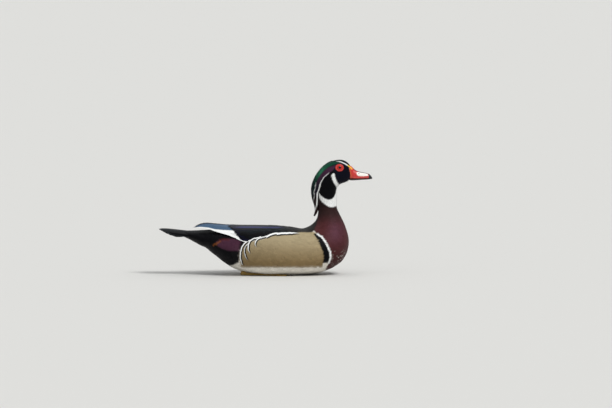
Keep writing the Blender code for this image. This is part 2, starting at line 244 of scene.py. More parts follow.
def spaced_rows(table, step=None, count=None, fineness=2000):
    """The table's smooth curve read at even steps of length along its middle."""
    fine = curve_through(table, np.linspace(0, len(table) - 1, fineness))
    length = lengths_along((fine[:, 0:2] + fine[:, 2:4]) / 2)
    wanted = np.linspace(0, length[-1], count or int(length[-1] / step))
    return np.stack([np.interp(wanted, length, fine[:, k]) for k in range(fine.shape[1])], 1)


def body_surface(*names):
    target = tree_of(*names)
    rows = spaced_rows(SPINE, ROW_STEP)
    angles = round_angles(AROUND)
    centres = np.stack([0 * rows[:, 0], rows[:, [0, 2]].mean(1), rows[:, [1, 3]].mean(1)], 1)
    upward = unit(np.stack([0 * rows[:, 0], rows[:, 0] - rows[:, 2], rows[:, 1] - rows[:, 3]], 1))
    directions = (upward[:, None] * np.cos(angles)[None, :, None]
                  + np.array([1.0, 0, 0]) * np.sin(angles)[None, :, None])
    radius = np.full(directions.shape[:2], np.nan)
    for i, centre in enumerate(centres):
        origin = Vector(centre)
        for j in range(AROUND):
            found = outermost(target, origin, Vector(directions[i, j]), 130)
            if found is not None:
                radius[i, j] = found
    points = centres[:, None] + directions * radius[:, :, None]
    eye_side = np.abs(points[:, :, 0]) > 5
    off_eye = np.hypot(points[:, :, 1] - EYE.y, points[:, :, 2] - EYE.z)
    holes = np.isnan(radius) | (eye_side & (off_eye < EYE_RADIUS + 1.6))
    radius = smoothed(filled_in(radius, holes), 3, True)
    points = centres[:, None] + directions * radius[:, :, None]

    steps = np.arange(1, int((TAIL_STUMP[-1][0] - TAIL_STUMP[0][0]) / ROW_STEP) + 1) * ROW_STEP
    stump = curve_through(TAIL_STUMP, steps / 11.75)
    stump[:, 0] = TAIL_STUMP[0][0] + steps
    middle = (stump[:, 1] + stump[:, 2]) / 2
    half = (stump[:, 1] - stump[:, 2]) / 2
    end = np.zeros((len(stump), AROUND, 3))
    end[:, :, 0] = stump[:, 3:4] * np.sin(angles)
    end[:, :, 1] = stump[:, 0:1]
    end[:, :, 2] = middle[:, None] + half[:, None] * np.cos(angles)
    start = np.array([0, TAIL_STUMP[0][0], sum(TAIL_STUMP[0][1:3]) / 2])
    reach = np.array([TAIL_STUMP[0][3], (TAIL_STUMP[0][1] - TAIL_STUMP[0][2]) / 2])
    drawn = start + np.stack([reach[0] * np.sin(angles), 0 * angles, reach[1] * np.cos(angles)], 1)
    share = np.clip(1 - steps / steps[-1], 0, 1)[:, None, None] ** 1.5
    end += (points[-1] - drawn) * share * np.array([1, 0, 1])
    centres = np.concatenate([centres, np.stack([0 * middle, stump[:, 0], middle], 1)])
    points = smoothed(np.concatenate([points, end]), 1, True)
    even = np.exp(-((points[:, :1, 1:2] - 104) / 9) ** 2)
    points += (smoothed(points, 20, True) - points) * even
    dip = np.interp(np.arange(len(points)), (0, 1, 2, 3), (1.4, 0.8, 0.3, 0.0))[:, None, None]
    points -= unit(points - centres[:, None]) * dip
    return Surface(points, True, centres)


# ---------------------------------------------------------------- markings
# All the plumage's borders are drawn in the side view, as (y, height as seen).
def side_view(points):
    return np.stack([points[:, 1], points[:, 2] - CAMERA_RISE * np.abs(points[:, 0])], 1)


def line_distance(p, line):
    line = np.asarray(line, float)
    best = np.full(len(p), 1e9)
    for a, b in zip(line, line[1:]):
        ab = b - a
        t = np.clip(((p - a) @ ab) / (ab @ ab), 0, 1)
        best = np.minimum(best, np.linalg.norm(p - a - t[:, None] * ab, axis=1))
    return best


def area_distance(p, outline):
    """Distance to an outline, negative inside it."""
    closed = np.asarray(list(outline) + [outline[0]], float)
    inside = np.zeros(len(p), bool)
    for a, b in zip(closed, closed[1:]):
        spans = (a[1] > p[:, 1]) != (b[1] > p[:, 1])
        rise = b[1] - a[1] if b[1] != a[1] else 1e-9
        inside ^= spans & (p[:, 0] < (b[0] - a[0]) * (p[:, 1] - a[1]) / rise + a[0])
    return np.where(inside, -1, 1) * line_distance(p, closed)


def soft(distance, width):
    """1 well inside a border, 0 well outside it, over that width."""
    return np.clip(0.5 - distance / width, 0, 1)


def within(p, outline, width):
    """1 inside an outline and 0 outside it, soft over that width."""
    return soft(area_distance(p, outline), width)


def stroke(p, line, half, width):
    """1 within half a stroke of a line, soft over that width."""
    return soft(line_distance(p, line) - half, width)


WHITE_BAR = ((-116.6, 174.6), (-118.0, 168.0), (-120.4, 162.0), (-124.6, 155.0), (-127.0, 150.0),
             (-132.0, 153.0), (-130.0, 158.3), (-126.0, 163.5), (-123.8, 168.4), (-122.4, 174.0),
             (-121.6, 177.4), (-119.4, 178.2))
BLACK_CHEEK = ((-107.9, 175.2), (-103.3, 171.0), (-97.7, 161.5), (-95.4, 152.2), (-94.4, 143.6),
               (-97.7, 138.8), (-104.9, 133.3), (-111.1, 131.0), (-117.4, 132.2), (-121.3, 136.6),
               (-124.1, 142.7), (-125.0, 150.0), (-123.0, 160.0), (-121.0, 176.0), (-118.0, 181.0))
WHITE_THROAT = ((-94.0, 144.2), (-97.7, 138.8), (-104.9, 133.3), (-111.1, 131.0), (-117.4, 132.2),
                (-121.3, 136.6), (-124.1, 142.7), (-125.6, 152.0), (-129.0, 157.0), (-133.0, 157.4),
                (-138.0, 150.0), (-134.0, 130.0), (-128.0, 121.0), (-119.0, 118.4),
                (-112.6, 118.7), (-107.2, 121.6), (-100.1, 127.0), (-95.4, 133.3))
LONG_LINE = ((-112.0, 178.4), (-107.9, 174.9), (-103.3, 171.0), (-97.7, 161.5), (-95.4, 152.2),
             (-92.9, 145.0), (-91.5, 141.1), (-91.5, 133.3), (-90.6, 121.6), (-85.9, 108.9),
             (-83.1, 102.2))
CREST_LINE = ((-88.7, 160.3), (-88.0, 152.2), (-85.6, 144.3), (-86.8, 138.8), (-84.8, 128.9))
BROW_LINE = ((-125.0, 199.2), (-129.5, 198.9), (-133.5, 197.8), (-139.0, 195.4),
             (-145.5, 191.6))
YELLOW_LINE = ((-145.6, 191.6), (-148.2, 189.8), (-150.6, 187.8), (-152.4, 185.6))
GREEN_CROWN = ((-141.0, 205.0), (-112.0, 206.0), (-92.0, 198.0), (-76.0, 172.0), (-74.0, 138.0),
               (-82.5, 138.0), (-87.5, 158.0), (-93.0, 170.0), (-101.0, 181.0), (-112.0, 189.5),
               (-124.0, 194.5), (-136.0, 198.5))
REAR_EDGE = ((-116.0, 201.0), (-107.6, 196.4), (-97.4, 188.2), (-86.8, 173.4), (-80.6, 156.0),
             (-81.5, 136.0))
PURPLE_SIDE = ((-126.0, 193.0), (-112.0, 189.0), (-101.0, 180.5), (-93.0, 169.5), (-88.0, 156.0),
               (-86.5, 140.0), (-91.0, 138.0), (-93.0, 146.0), (-96.0, 153.0), (-98.4, 162.0),
               (-104.0, 171.7), (-108.4, 175.8), (-118.0, 182.0), (-121.0, 186.0))
SPUR = ((-92.0, 71.0), (-94.6, 69.0), (-98.9, 66.1), (-103.3, 61.2), (-107.2, 54.6),
        (-110.9, 47.5), (-114.0, 39.7), (-115.0, 30.0), (-112.0, 20.0))
BREAST = SPUR + ((-106.0, 8.0), (-104.0, -5.0), (-160.0, -5.0), (-170.0, 60.0), (-150.0, 126.0),
                 (-80.0, 126.0), (-84.0, 100.0), (-80.0, 86.0), (-84.0, 78.0))
BLACK_BAR = ((-92.0, 71.5), (-84.6, 71.6), (-88.4, 67.0), (-92.6, 59.2), (-96.8, 49.9),
             (-101.2, 40.4), (-102.8, 30.0), (-101.0, 20.0), (-112.0, 20.0), (-115.0, 30.0),
             (-114.0, 39.7), (-110.9, 47.5), (-107.2, 54.6), (-103.3, 61.2), (-98.9, 66.1))
FLANK = ((-88.0, 73.4), (-82.0, 76.0), (-60.0, 76.0), (-54.0, 72.6), (-19.0, 70.6),
         (-9.0, 67.5), (-1.0, 63.5), (11.0, 60.5), (22.0, 58.0), (31.0, 56.0), (38.0, 51.0),
         (43.0, 42.0), (45.0, 30.0), (42.0, 12.0), (-100.0, 12.0),
         (-105.0, 30.0), (-103.6, 40.4), (-99.4, 49.9), (-95.4, 59.2), (-91.3, 67.0))
DARK_BACK = ((-86.0, 78.0), (-88.0, 84.0), (-92.0, 96.0), (-92.0, 104.0), (-60.0, 104.0),
             (140.0, 104.0), (200.0, 90.0), (200.0, 60.0), (110.0, 38.0), (90.0, 26.0),
             (76.0, 17.0), (60.0, 15.0), (45.6, 21.0), (43.6, 42.0), (38.0, 51.5), (30.0, 57.0),
             (22.0, 59.0), (11.0, 61.5), (-1.0, 64.5), (-9.0, 68.5), (-19.0, 70.0),
             (-54.0, 71.6), (-60.0, 74.6), (-82.0, 74.4))
MAROON_PATCH = ((42.0, 60.0), (50.0, 62.5), (64.0, 62.5), (80.0, 60.5), (86.0, 57.0), (84.0, 50.0),
                (76.0, 45.0), (62.0, 41.5), (46.0, 41.0))

CHESTNUT, CHESTNUT_DEEP = linear("#4d2728"), linear("#3d201f")
PAINTED_PURPLE_HIGHLIGHT, NECK_BROWN = linear("#5c3a49"), linear("#2f2120")
WHITE, BELLY_WHITE = linear("#f1f2f0"), linear("#e7e2d8")
BUFF, BUFF_DEEP = linear("#a69777"), linear("#86714e")
BLACK, BRONZE_BLACK = linear("#0b0b0d"), linear("#1d1a17")
GREEN, PAINTED_GREEN_HIGHLIGHT = linear("#1c503b"), linear("#38805f")
PURPLE, BLUE_BLACK, CREST_BLUE = linear("#462a3f"), linear("#12131f"), linear("#10161f")
MAROON, RUST, RED_BROWN = linear("#482a3a"), linear("#8a4f26"), linear("#54201c")
YELLOW, BUFF_RIM = linear("#f0c040"), linear("#968566")


class Tones:
    """Colour and gloss at points, with one mark painted over another."""

    def __init__(self, points, colour, shine):
        self.colour = np.tile(colour, (len(points), 1))
        self.gloss = np.full(len(points), shine)

    def paint(self, mask, colour, shine):
        """Lays a colour and its gloss over the others, as far as the mask says."""
        self.colour += (colour - self.colour) * mask[:, None]
        self.gloss += (shine - self.gloss) * mask

    def rows(self):
        return np.concatenate([self.colour, self.gloss[:, None]], 1)


def plain(colour, shine):
    """A painter that gives all points the same colour and gloss."""
    return lambda points: Tones(points, colour, shine).rows()


def markings(points):
    """The plumage's colour and gloss at points of the body, the same on both sides."""
    p = side_view(points)
    y, z = p[:, 0], p[:, 1]
    tones = Tones(p, BELLY_WHITE, 0.0)
    flank = within(p, FLANK, 1.5) * np.clip((points[:, 2] - 6) / 14, 0, 1)
    deep = np.clip((62 - z) / 40, 0, 1)[:, None]
    tones.paint(flank, BUFF * (1 - deep) + BUFF_DEEP * deep, 0.0)
    low = np.clip((points[:, 2] - 3) / 10, 0, 1) * np.clip((-y - 100) / 14 + z / 40, 0, 1)
    breast = within(p, BREAST, 1.0) * low
    tones.paint(breast, CHESTNUT, 0.35)
    # painted highlight: the breast's own purple gloss, painted brightest on its front where the
    # light falls
    sheen = breast * np.exp(-((y + 124) / 14) ** 2 - ((z - 74) / 22) ** 2)
    tones.paint(0.55 * sheen, PAINTED_PURPLE_HIGHLIGHT, 0.5)
    tones.paint(0.7 * breast * np.clip((60 - z) / 30, 0, 1), CHESTNUT_DEEP, 0.3)
    tones.paint(breast * np.clip((z - 84) / 26, 0, 0.9), NECK_BROWN, 0.3)
    neck = soft(118 - z, 4) * soft(z - 150, 4)
    tones.paint(neck, NECK_BROWN * 0.8, 0.3)
    bar_height = np.clip((points[:, 2] - 14) / 12, 0, 1)
    tones.paint(within(p, BLACK_BAR, 0.8) * bar_height, BLACK, 0.3)
    tones.paint(stroke(p, SPUR, 1.45, 0.6) * bar_height, WHITE, 0.0)
    tones.paint(within(p, DARK_BACK, 2.0), BLACK, 0.35)
    mantle = within(p, DARK_BACK, 2.0) * np.clip((-40 - y) / 20, 0, 1)
    tones.paint(mantle, BRONZE_BLACK, 0.35)
    tones.paint(within(p, MAROON_PATCH, 3.0), MAROON, 0.5)
    reddish = stroke(p, ((64.0, 61.0), (74.0, 61.5), (80.0, 59.0)), 1.5, 4)
    tones.paint(0.7 * reddish, RED_BROWN, 0.3)
    plume = stroke(p, ((79.0, 58.0), (85.0, 54.5), (90.5, 50.5)), 1.2, 2.2)
    tones.paint(0.8 * plume, RUST, 0.1)

    head = soft(133 - z, 1) * soft(y + 66, 2)
    tones.paint(head, BLACK, 0.5)
    face = soft(y + 121, 3) * soft(160 - z, 4)
    tones.paint(head * face * 0.8, BLUE_BLACK, 0.7)
    tones.paint(within(p, PURPLE_SIDE, 2.0), PURPLE, 0.9)
    green = within(p, GREEN_CROWN, 2.5)
    tones.paint(green, GREEN, 1.0)
    # painted highlight: brighter green on the upper crest, where the light catches its green gloss
    green_highlight = green * np.exp(-((y + 94) / 12) ** 2 - ((z - 184) / 12) ** 2)
    rear_edge = stroke(p, REAR_EDGE, 1.5, 4) * soft(y + 74, 1)
    tones.paint(green_highlight, PAINTED_GREEN_HIGHLIGHT, 1.0)
    tones.paint(0.75 * rear_edge, CREST_BLUE, 0.8)
    top = soft(198.5 - points[:, 2], 3) * soft(y + 106, 12)
    tones.paint(0.75 * top, BLACK, 0.8)
    lower_crest = np.maximum(green, within(p, PURPLE_SIDE, 2.0)) * soft(z - 166, 22)
    tones.paint(0.9 * lower_crest * soft(y + 66, 2), CREST_BLUE, 0.7)
    tones.paint(within(p, BLACK_CHEEK, 0.8), BLACK, 0.35)
    tones.paint(within(p, WHITE_THROAT, 0.8), WHITE, 0.0)
    chin = soft(np.abs(points[:, 0]) - 6.0, 2) * soft(y + 127, 2) * soft(z - 166, 3)
    chin *= soft(132 - z, 4)
    tones.paint(chin, WHITE, 0.0)
    tones.paint(within(p, WHITE_BAR, 0.8), WHITE, 0.0)
    taper = np.interp(z, (100, 116, 140, 160, 179), (0.5, 1.0, 1.1, 0.85, 0.3))
    tones.paint(stroke(p, LONG_LINE, taper, 0.7), WHITE, 0.0)
    broken = 0.85 * (0.75 + 0.25 * np.sin(z * 0.9))
    tones.paint(broken * stroke(p, CREST_LINE, 0.55, 0.7), WHITE, 0.0)
    thick = np.interp(y, (-145, -134, -125), (0.95, 0.7, 0.2))
    tones.paint(stroke(p, BROW_LINE, thick, 0.6), WHITE, 0.0)
    tones.paint(stroke(p, YELLOW_LINE, 1.1, 0.7), YELLOW, 0.0)
    return tones.rows()


# ---------------------------------------------------------------- meshes from arrays
def mesh_piece(name, points, faces, material, colours, maps):
    """One object from arrays, in millimetres, with its colours and maps for each point."""
    mesh = bpy.data.meshes.new(name)
    points = np.asarray(points, float)
    faces = [np.asarray(f) for f in faces if len(f)]
    sizes = np.concatenate([np.full(len(f), f.shape[1]) for f in faces])
    corners = np.concatenate([f.ravel() for f in faces])
    mesh.vertices.add(len(points))
    mesh.vertices.foreach_set("co", (points * MM).ravel())
    mesh.loops.add(len(corners))
    mesh.loops.foreach_set("vertex_index", corners)
    mesh.polygons.add(len(sizes))
    mesh.polygons.foreach_set("loop_start", np.concatenate([[0], np.cumsum(sizes)[:-1]]))
    mesh.polygons.foreach_set("loop_total", sizes)
    mesh.update(calc_edges=True)
    if colours is not None:
        layer = mesh.color_attributes.new("plumage", "FLOAT_COLOR", "POINT")
        layer.data.foreach_set("color", colours.astype(np.float32).ravel())
    for key, uv in maps.items():
        layer = mesh.uv_layers.new(name=key, do_init=False)
        layer.uv.foreach_set("vector", uv[corners].astype(np.float32).ravel())
    mesh.shade_smooth()
    mesh.materials.append(material)
    obj = bpy.data.objects.new(name, mesh)
    bpy.context.scene.collection.objects.link(obj)
    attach(obj, "root")
    return obj


def grid_faces(rows, columns, around=True, along=False):
    """Faces between the neighbours on a grid, which may close around and along."""
    i, j = np.meshgrid(np.arange(rows if along else rows - 1),
                       np.arange(columns if around else columns - 1), indexing="ij")
    k, below = (j + 1) % columns, (i + 1) % rows
    return np.stack([i * columns + j, i * columns + k, below * columns + k,
                     below * columns + j], -1).reshape(-1, 4)


def repeated(faces, count, points):
    """One copy's faces for many copies, each with that many points."""
    return (faces[None] + (np.arange(count) * points)[:, None, None]).reshape(-1, faces.shape[1])


def turn_faces_out(obj):
    nothing_selected()
    bpy.context.view_layer.objects.active = obj
    obj.select_set(True)
    bpy.ops.object.mode_set(mode="EDIT")
    bpy.ops.mesh.select_all(action="SELECT")
    bpy.ops.mesh.normals_make_consistent(inside=False)
    bpy.ops.object.mode_set(mode="OBJECT")
    nothing_selected()


TRIES = 6                    # places tried for each that is kept


def scatter(surface, spacing, wanted, seed):
    """Places on the surface no nearer to each other than the spacing there."""
    picks = np.random.default_rng(seed)
    flat = surface.points.reshape(-1, 3)
    gap = spacing(flat)
    weight = surface.area.ravel() / gap**2 * wanted(flat)
    weight[surface.columns * (surface.rows - 1):] = 0
    if not surface.around:
        weight.reshape(surface.rows, surface.columns)[:, -1] = 0
    count = int(weight.sum() * TRIES)
    cells = picks.choice(len(flat), count, p=weight / weight.sum())
    u = cells // surface.columns + picks.random(count)
    v = cells % surface.columns + picks.random(count)
    points = surface.read(surface.points, u, v)
    gap = spacing(points)
    near = KDTree(count)
    for i, point in enumerate(points):
        near.insert(point, i)
    near.balance()
    gone = np.zeros(count, bool)
    kept = []
    for i in range(count):
        if gone[i]:
            continue
        kept.append(i)
        for _, j, _ in near.find_range(points[i], gap[i]):
            gone[j] = True
    kept = np.array(kept)
    keep = wanted(points[kept]) > 0
    return u[kept][keep], v[kept][keep]


def vane_shape(columns, outline, rows=None):
    """One vane's plan: places across (-1 to 1) and along (0 to 1), and its faces."""
    if rows:
        steps = 1 - (1 - np.linspace(0, 1, rows + 1)) ** 1.5
        known = np.array(outline, float)
        outline = [(t, np.interp(t, known[:, 0], known[:, 1])) for t in steps]
    across, along = [], []
    for t, width in outline[:-1]:
        for a in np.linspace(-1, 1, columns):
            across.append(a * width)
            along.append(t)
    quads = []
    for r in range(len(outline) - 2):
        for c in range(columns - 1):
            i = r * columns + c
            quads.append((i, i + 1, i + 1 + columns, i + columns))
    tip = len(across)
    across.append(0.0)
    along.append(outline[-1][0])
    last = (len(outline) - 2) * columns
    fans = [(last + c, last + c + 1, tip) for c in range(columns - 1)]
    return np.array(across), np.array(along), np.array(quads), np.array(fans)


HAIR_VANE = vane_shape(3, ((0.0, 0.45), (0.35, 1.0), (0.72, 0.8), (1.0, 0.0)))
BROAD_VANE = vane_shape(5, ((0.0, 0.3), (0.2, 0.6), (0.42, 0.9), (0.64, 1.0), (0.8, 0.92),
                            (0.92, 0.66), (1.0, 0.0)))
ROUND_TIP = ((0.0, 0.4), (0.2, 0.7), (0.45, 0.93), (0.65, 1.0), (0.8, 0.95), (0.9, 0.78),
             (0.96, 0.52), (0.99, 0.26), (1.0, 0.0))
LONG_TIP = ((0.0, 0.55), (0.2, 0.85), (0.45, 1.0), (0.7, 0.93), (0.84, 0.74), (0.93, 0.5),
            (0.98, 0.25), (1.0, 0.0))
BLUNT_TIP = ((0.0, 0.45), (0.3, 0.8), (0.6, 0.97), (0.82, 1.0), (0.92, 0.85), (0.97, 0.6),
             (0.995, 0.25), (1.0, 0.0))


VANE_MAP = 100               # millimetres in one unit of the map that barbs and waves use
FRAYED = 0.03                # unevenness of a vane's tip, as a share of its length
UNEVEN = 0.03                # unevenness of how high the vanes lie


def lay(name, surface, u, v, length, width, depth, turn, shape, material, seed, softness,
        ragged, flat, paint_vane=None, lift=0.0, camber=0.03):
    """Lays vanes on a surface. Their roots go in by the depth and their tips reach it."""
    picks = np.random.default_rng(seed)
    across, along, quads, fans = shape
    n, m = len(u), len(across)
    fray = np.where(along > 0.7, 1.0, 0.0) * FRAYED
    along = np.tile(along, (n, 1)) + picks.normal(0, 1, (n, m)) * fray
    full = np.ones(n)
    length, width, depth, turn, lift = (full * k for k in (length, width, depth, turn, lift))
    step_u = np.linalg.norm(surface.read(surface.along, u, v), axis=1)
    step_v = np.linalg.norm(surface.read(surface.across, u, v), axis=1)
    forward = along * length[:, None]
    sideways = across[None] * width[:, None] / 2
    cos, sin = np.cos(turn)[:, None], np.sin(turn)[:, None]
    uu = u[:, None] + (forward * cos - sideways * sin) / step_u[:, None]
    vv = v[:, None] + (forward * sin + sideways * cos) / step_v[:, None]
    uu, vv = uu.ravel(), vv.ravel()
    base = surface.read(surface.points, uu, vv)
    normal = unit(surface.read(surface.normal, uu, vv))
    rise = -depth[:, None] * np.clip(1 - along, 0, 1) ** flat
    rise = rise - camber * width[:, None] * across[None] ** 2
    rise = rise + lift[:, None] + picks.uniform(-UNEVEN, UNEVEN, (n, 1))
    points = base + normal * rise.reshape(-1, 1)
    points[:, 2] = np.maximum(points[:, 2], FLOOR_GAP)
    jitter = np.repeat(picks.normal(0, ragged, (n, 3)), m, axis=0)
    if paint_vane is None:
        colours = markings(base + jitter)
    else:
        colours = paint_vane(base + jitter, np.tile(across, n), along.ravel(), n, m)
    tone = np.repeat(picks.normal(1, 0.05, n), m)[:, None]
    colours[:, :3] = np.clip(colours[:, :3] * tone, 0, 1)
    own = np.stack([0.5 + sideways.ravel() / VANE_MAP, forward.ravel() / VANE_MAP], 1)
    own[:, 1] += np.repeat(picks.random(n), m) * 0.1
    root = np.stack([np.mod(v, surface.columns) / surface.columns, u / surface.rows], 1)
    bake = np.repeat(root * 0.99 + 0.001, m, axis=0)
    bake = bake + 0.0015 * np.stack([np.tile(across, n), 2 * along.ravel() - 1], 1)
    obj = mesh_piece(name, points, (repeated(quads, n, m), repeated(fans, n, m)), material,
                     colours, {"OFBake": np.clip(bake, 0, 1), "vane": own})
    face_outwards(obj, normal, softness)
    return obj


def face_outwards(obj, normal, softness):
    """Turns the faces out, and blends each vane's shading with that of what it lies on."""
    mesh = obj.data
    shaded = np.empty(len(normal) * 3)
    mesh.vertices.foreach_get("normal", shaded)
    shaded = shaded.reshape(-1, 3)
    flip = np.sign((shaded * normal).sum(1, keepdims=True))
    shaded = shaded * np.where(flip == 0, 1, flip)
    if flip.mean() < 0:
        mesh.flip_normals()
    blended = unit(shaded * (1 - softness) + normal * softness)
    mesh.normals_split_custom_set_from_vertices(blended.tolist())


def blades(name, surface, rows, shape, material, paint_vane, softness=0.3, camber=0.05,
           sink=1.5):
    """Long quills, each laid along its own path. A row is root u, v, tip u, v, width, lift,
    and how far the path bows to its side, as a share of the width."""
    across, along, quads, fans = shape
    rows = np.asarray(rows, float)
    n, m = len(rows), len(across)
    u0, v0, u1, v1, width, lift, bow = (rows[:, k:k + 1] for k in range(7))
    t = along[None]
    swing = bow * np.sin(math.pi * t) * width
    uu = u0 + (u1 - u0) * t
    vv = v0 + (v1 - v0) * t
    du, dv = np.repeat(u1 - u0, m, 1).ravel(), np.repeat(v1 - v0, m, 1).ravel()
    uu, vv = uu.ravel(), vv.ravel()
    grow, side = surface.read(surface.along, uu, vv), surface.read(surface.across, uu, vv)
    normal = unit(surface.read(surface.normal, uu, vv))
    heading = unit(grow * du[:, None] + side * dv[:, None])
    sideways = np.cross(heading, normal)
    offset = (across[None] * width / 2 + swing).ravel()
    uu = uu + (sideways * grow).sum(1) / (grow**2).sum(1) * offset
    vv = vv + (sideways * side).sum(1) / (side**2).sum(1) * offset
    base = surface.read(surface.points, uu, vv)
    normal = unit(surface.read(surface.normal, uu, vv))
    rise = lift - sink * (1 - t) ** 2.5 - camber * width * across[None] ** 2
    points = base + normal * rise.reshape(-1, 1)
    points[:, 2] = np.maximum(points[:, 2], FLOOR_GAP)
    a, t = np.tile(across, n), np.tile(along, n)
    length = np.linalg.norm(base.reshape(n, m, 3)[:, 0] - base.reshape(n, m, 3)[:, -1], axis=1)
    forward = t * np.repeat(length, m)
    half = np.repeat(width.ravel(), m) / 2
    colours = paint_vane(base, a, t, n, m)
    own = np.stack([0.5 + a * half / VANE_MAP,
                    forward / VANE_MAP + np.repeat(np.arange(n), m) * 0.37], 1)
    cells = math.ceil(math.sqrt(n))
    order = np.repeat(np.arange(n), m)
    bake = np.stack([(order % cells + 0.5 + 0.46 * a) / cells,
                     (order // cells + 0.04 + 0.92 * t) / cells], 1)
    obj = mesh_piece(name, points, (repeated(quads, n, m), repeated(fans, n, m)), material,
                     colours, {"OFBake": bake, "vane": own})
    face_outwards(obj, normal, softness)
    return obj


# ---------------------------------------------------------------- materials
def grained(tree, shader, colour, grain, tones, strength, height):
    """Gives a shader a colour that a texture's grain darkens and lightens, and its relief."""
    tint = add_node(tree, "ShaderNodeMapRange",
                    {0: grain, 1: 0.3, 2: 0.7, 3: tones[0], 4: tones[1]})
    coloured = add_node(tree, "ShaderNodeVectorMath", {0: colour, "Scale": tint.outputs[0]},
                        operation="SCALE")
    bump = add_node(tree, "ShaderNodeBump",
                    {"Height": grain, "Strength": strength, "Distance": height})
    set_inputs(shader, {"Base Color": coloured.outputs[0], "Normal": bump.outputs[0]})


def creased(tree, shader, pattern, codes, strength, height):
    """Gives a shader two colours, the darker one in a pattern's creases, and their relief. In skin
    wrinkles the darker colour is painted shade; between scutes it is the joints' own colour.
    """
    mix = add_node(tree, "ShaderNodeMix", {0: pattern, 6: rgba(codes[1]), 7: rgba(codes[0])},
                   data_type="RGBA")
    bump = add_node(tree, "ShaderNodeBump",
                    {"Height": pattern, "Strength": strength, "Distance": height})
    set_inputs(shader, {"Base Color": mix.outputs[2], "Normal": bump.outputs[0]})


def plumage_material(name, roughness, gloss_roughness, barb_height):
    """Vanes of keratin barbs. The colour attribute holds the pigment, and its alpha the gloss."""
    made, tree, shader = new_material(name)
    pigment = add_node(tree, "ShaderNodeVertexColor", layer_name="plumage")
    place = add_node(tree, "ShaderNodeUVMap", uv_map="vane")
    axes = add_node(tree, "ShaderNodeSeparateXYZ", {0: place.outputs[0]})
    centred = add_node(tree, "ShaderNodeMath", {0: axes.outputs[0], 1: 0.5}, operation="SUBTRACT")
    out = add_node(tree, "ShaderNodeMath", {0: centred.outputs[0]}, operation="ABSOLUTE")
    # barbs leave the shaft at about 35 degrees; 0.9 mm apart, coarser than the real 0.4 mm to show
    slant = add_node(tree, "ShaderNodeMath", {0: out.outputs[0], 1: -1.4, 2: axes.outputs[1]},
                     operation="MULTIPLY_ADD")
    drawn_out = add_node(tree, "ShaderNodeMath", {0: out.outputs[0], 1: 0.2}, operation="MULTIPLY")
    barb_place = add_node(tree, "ShaderNodeCombineXYZ",
                          {0: slant.outputs[0], 1: drawn_out.outputs[0]})
    barbs = add_node(tree, "ShaderNodeTexNoise",
                     {"Vector": barb_place.outputs[0], "Scale": 110.0, "Detail": 2.0,
                      "Roughness": 0.6})
    grained(tree, shader, pigment.outputs["Color"], barbs.outputs["Fac"], (0.88, 1.08), 0.35,
            barb_height)
    rough = add_node(tree, "ShaderNodeMapRange",
                     {0: pigment.outputs["Alpha"], 3: roughness, 4: gloss_roughness})
    # only the glossy pigments shine like metal, as thin layers in a barb do
    metal = add_node(tree, "ShaderNodeMapRange",
                     {0: pigment.outputs["Alpha"], 1: 0.35, 3: 0.0, 4: 0.55})
    set_inputs(shader, {"Roughness": rough.outputs[0], "Metallic": metal.outputs[0],
                        "Specular IOR Level": 0.09, "Specular Tint": (0.45, 0.45, 0.5, 1)})
    return made


def waved_material():
    """Buff side feathers. Alpha is the strength of fine dark waves across each vane."""
    made, tree, shader = new_material("feather_barbs_vermiculated")
    pigment = add_node(tree, "ShaderNodeVertexColor", layer_name="plumage")
    place = add_node(tree, "ShaderNodeUVMap", uv_map="vane")
    # waves 1.3 mm apart, a little coarser than the real 1 mm to show
    waves = add_node(tree, "ShaderNodeTexWave",
                     {"Vector": place.outputs[0], "Scale": 25.0, "Distortion": 9.0,
                      "Detail": 2.0, "Detail Scale": 2.0}, bands_direction="Y")
    line = add_node(tree, "ShaderNodeMapRange",
                    {0: waves.outputs["Fac"], 1: 0.5, 2: 0.9, 3: 0.0, 4: 0.42})
    strength = add_node(tree, "ShaderNodeMath", {0: line.outputs[0], 1: pigment.outputs["Alpha"]},
                        operation="MULTIPLY")
    mix = add_node(tree, "ShaderNodeMix",
                   {0: strength.outputs[0], 6: pigment.outputs["Color"], 7: rgba("#1c1610")},
                   data_type="RGBA")
    barbs = add_node(tree, "ShaderNodeTexNoise",
                     {"Vector": place.outputs[0], "Scale": 90.0, "Detail": 2.0})
    grained(tree, shader, mix.outputs[2], barbs.outputs["Fac"], (0.88, 1.1), 0.3, 0.0003)
    set_inputs(shader, {"Roughness": 0.62, "Specular IOR Level": 0.1})
    return made


def skin_material():
    """Down under the vanes: dull and soft, in the colours of the coat over it."""
    made, tree, shader = new_material("down_matted")
    pigment = add_node(tree, "ShaderNodeVertexColor", layer_name="plumage")
    place = add_node(tree, "ShaderNodeTexCoord")
    # down clumps about 2 mm across
    clumps = add_node(tree, "ShaderNodeTexNoise",
                      {"Vector": place.outputs["Object"], "Scale": 500.0, "Detail": 3.0})
    grained(tree, shader, pigment.outputs["Color"], clumps.outputs["Fac"], (0.7, 1.0), 0.5,
            0.0006)
    set_inputs(shader, {"Roughness": 0.85})
    return made


# ---------------------------------------------------------------- the bird
def section(upper, lower, half_width, widest, squareness, angles):
    """A rounded section between two points (y, z) of the side view, as in the solids."""
    rise = np.sign(np.cos(angles)) * np.abs(np.cos(angles)) ** (2 / squareness)
    height = widest + rise * np.where(rise > 0, 1 - widest, widest)
    across = half_width * np.sign(np.sin(angles)) * np.abs(np.sin(angles)) ** (2 / squareness)
    y = lower[0] + (upper[0] - lower[0]) * height
    z = lower[1] + (upper[1] - lower[1]) * height
    return np.stack([across, y, z], -1)


body = body_surface("head", "neck", "trunk", "tail")
coat = body_surface("head", "neck", "trunk", "tail", "wing_left", "wing_right")


def coat_depth(points):
    """How deep the coat lies over the skin at points of the body."""
    z, y = points[:, 2], points[:, 1]
    on_head = np.clip((z - 118) / 30, 0, 1)
    depth = 1.5 * (1 - on_head) + 0.7 * on_head
    near_bill = np.clip((-138 - y) / 10, 0, 1) * on_head
    return depth - 0.25 * near_bill


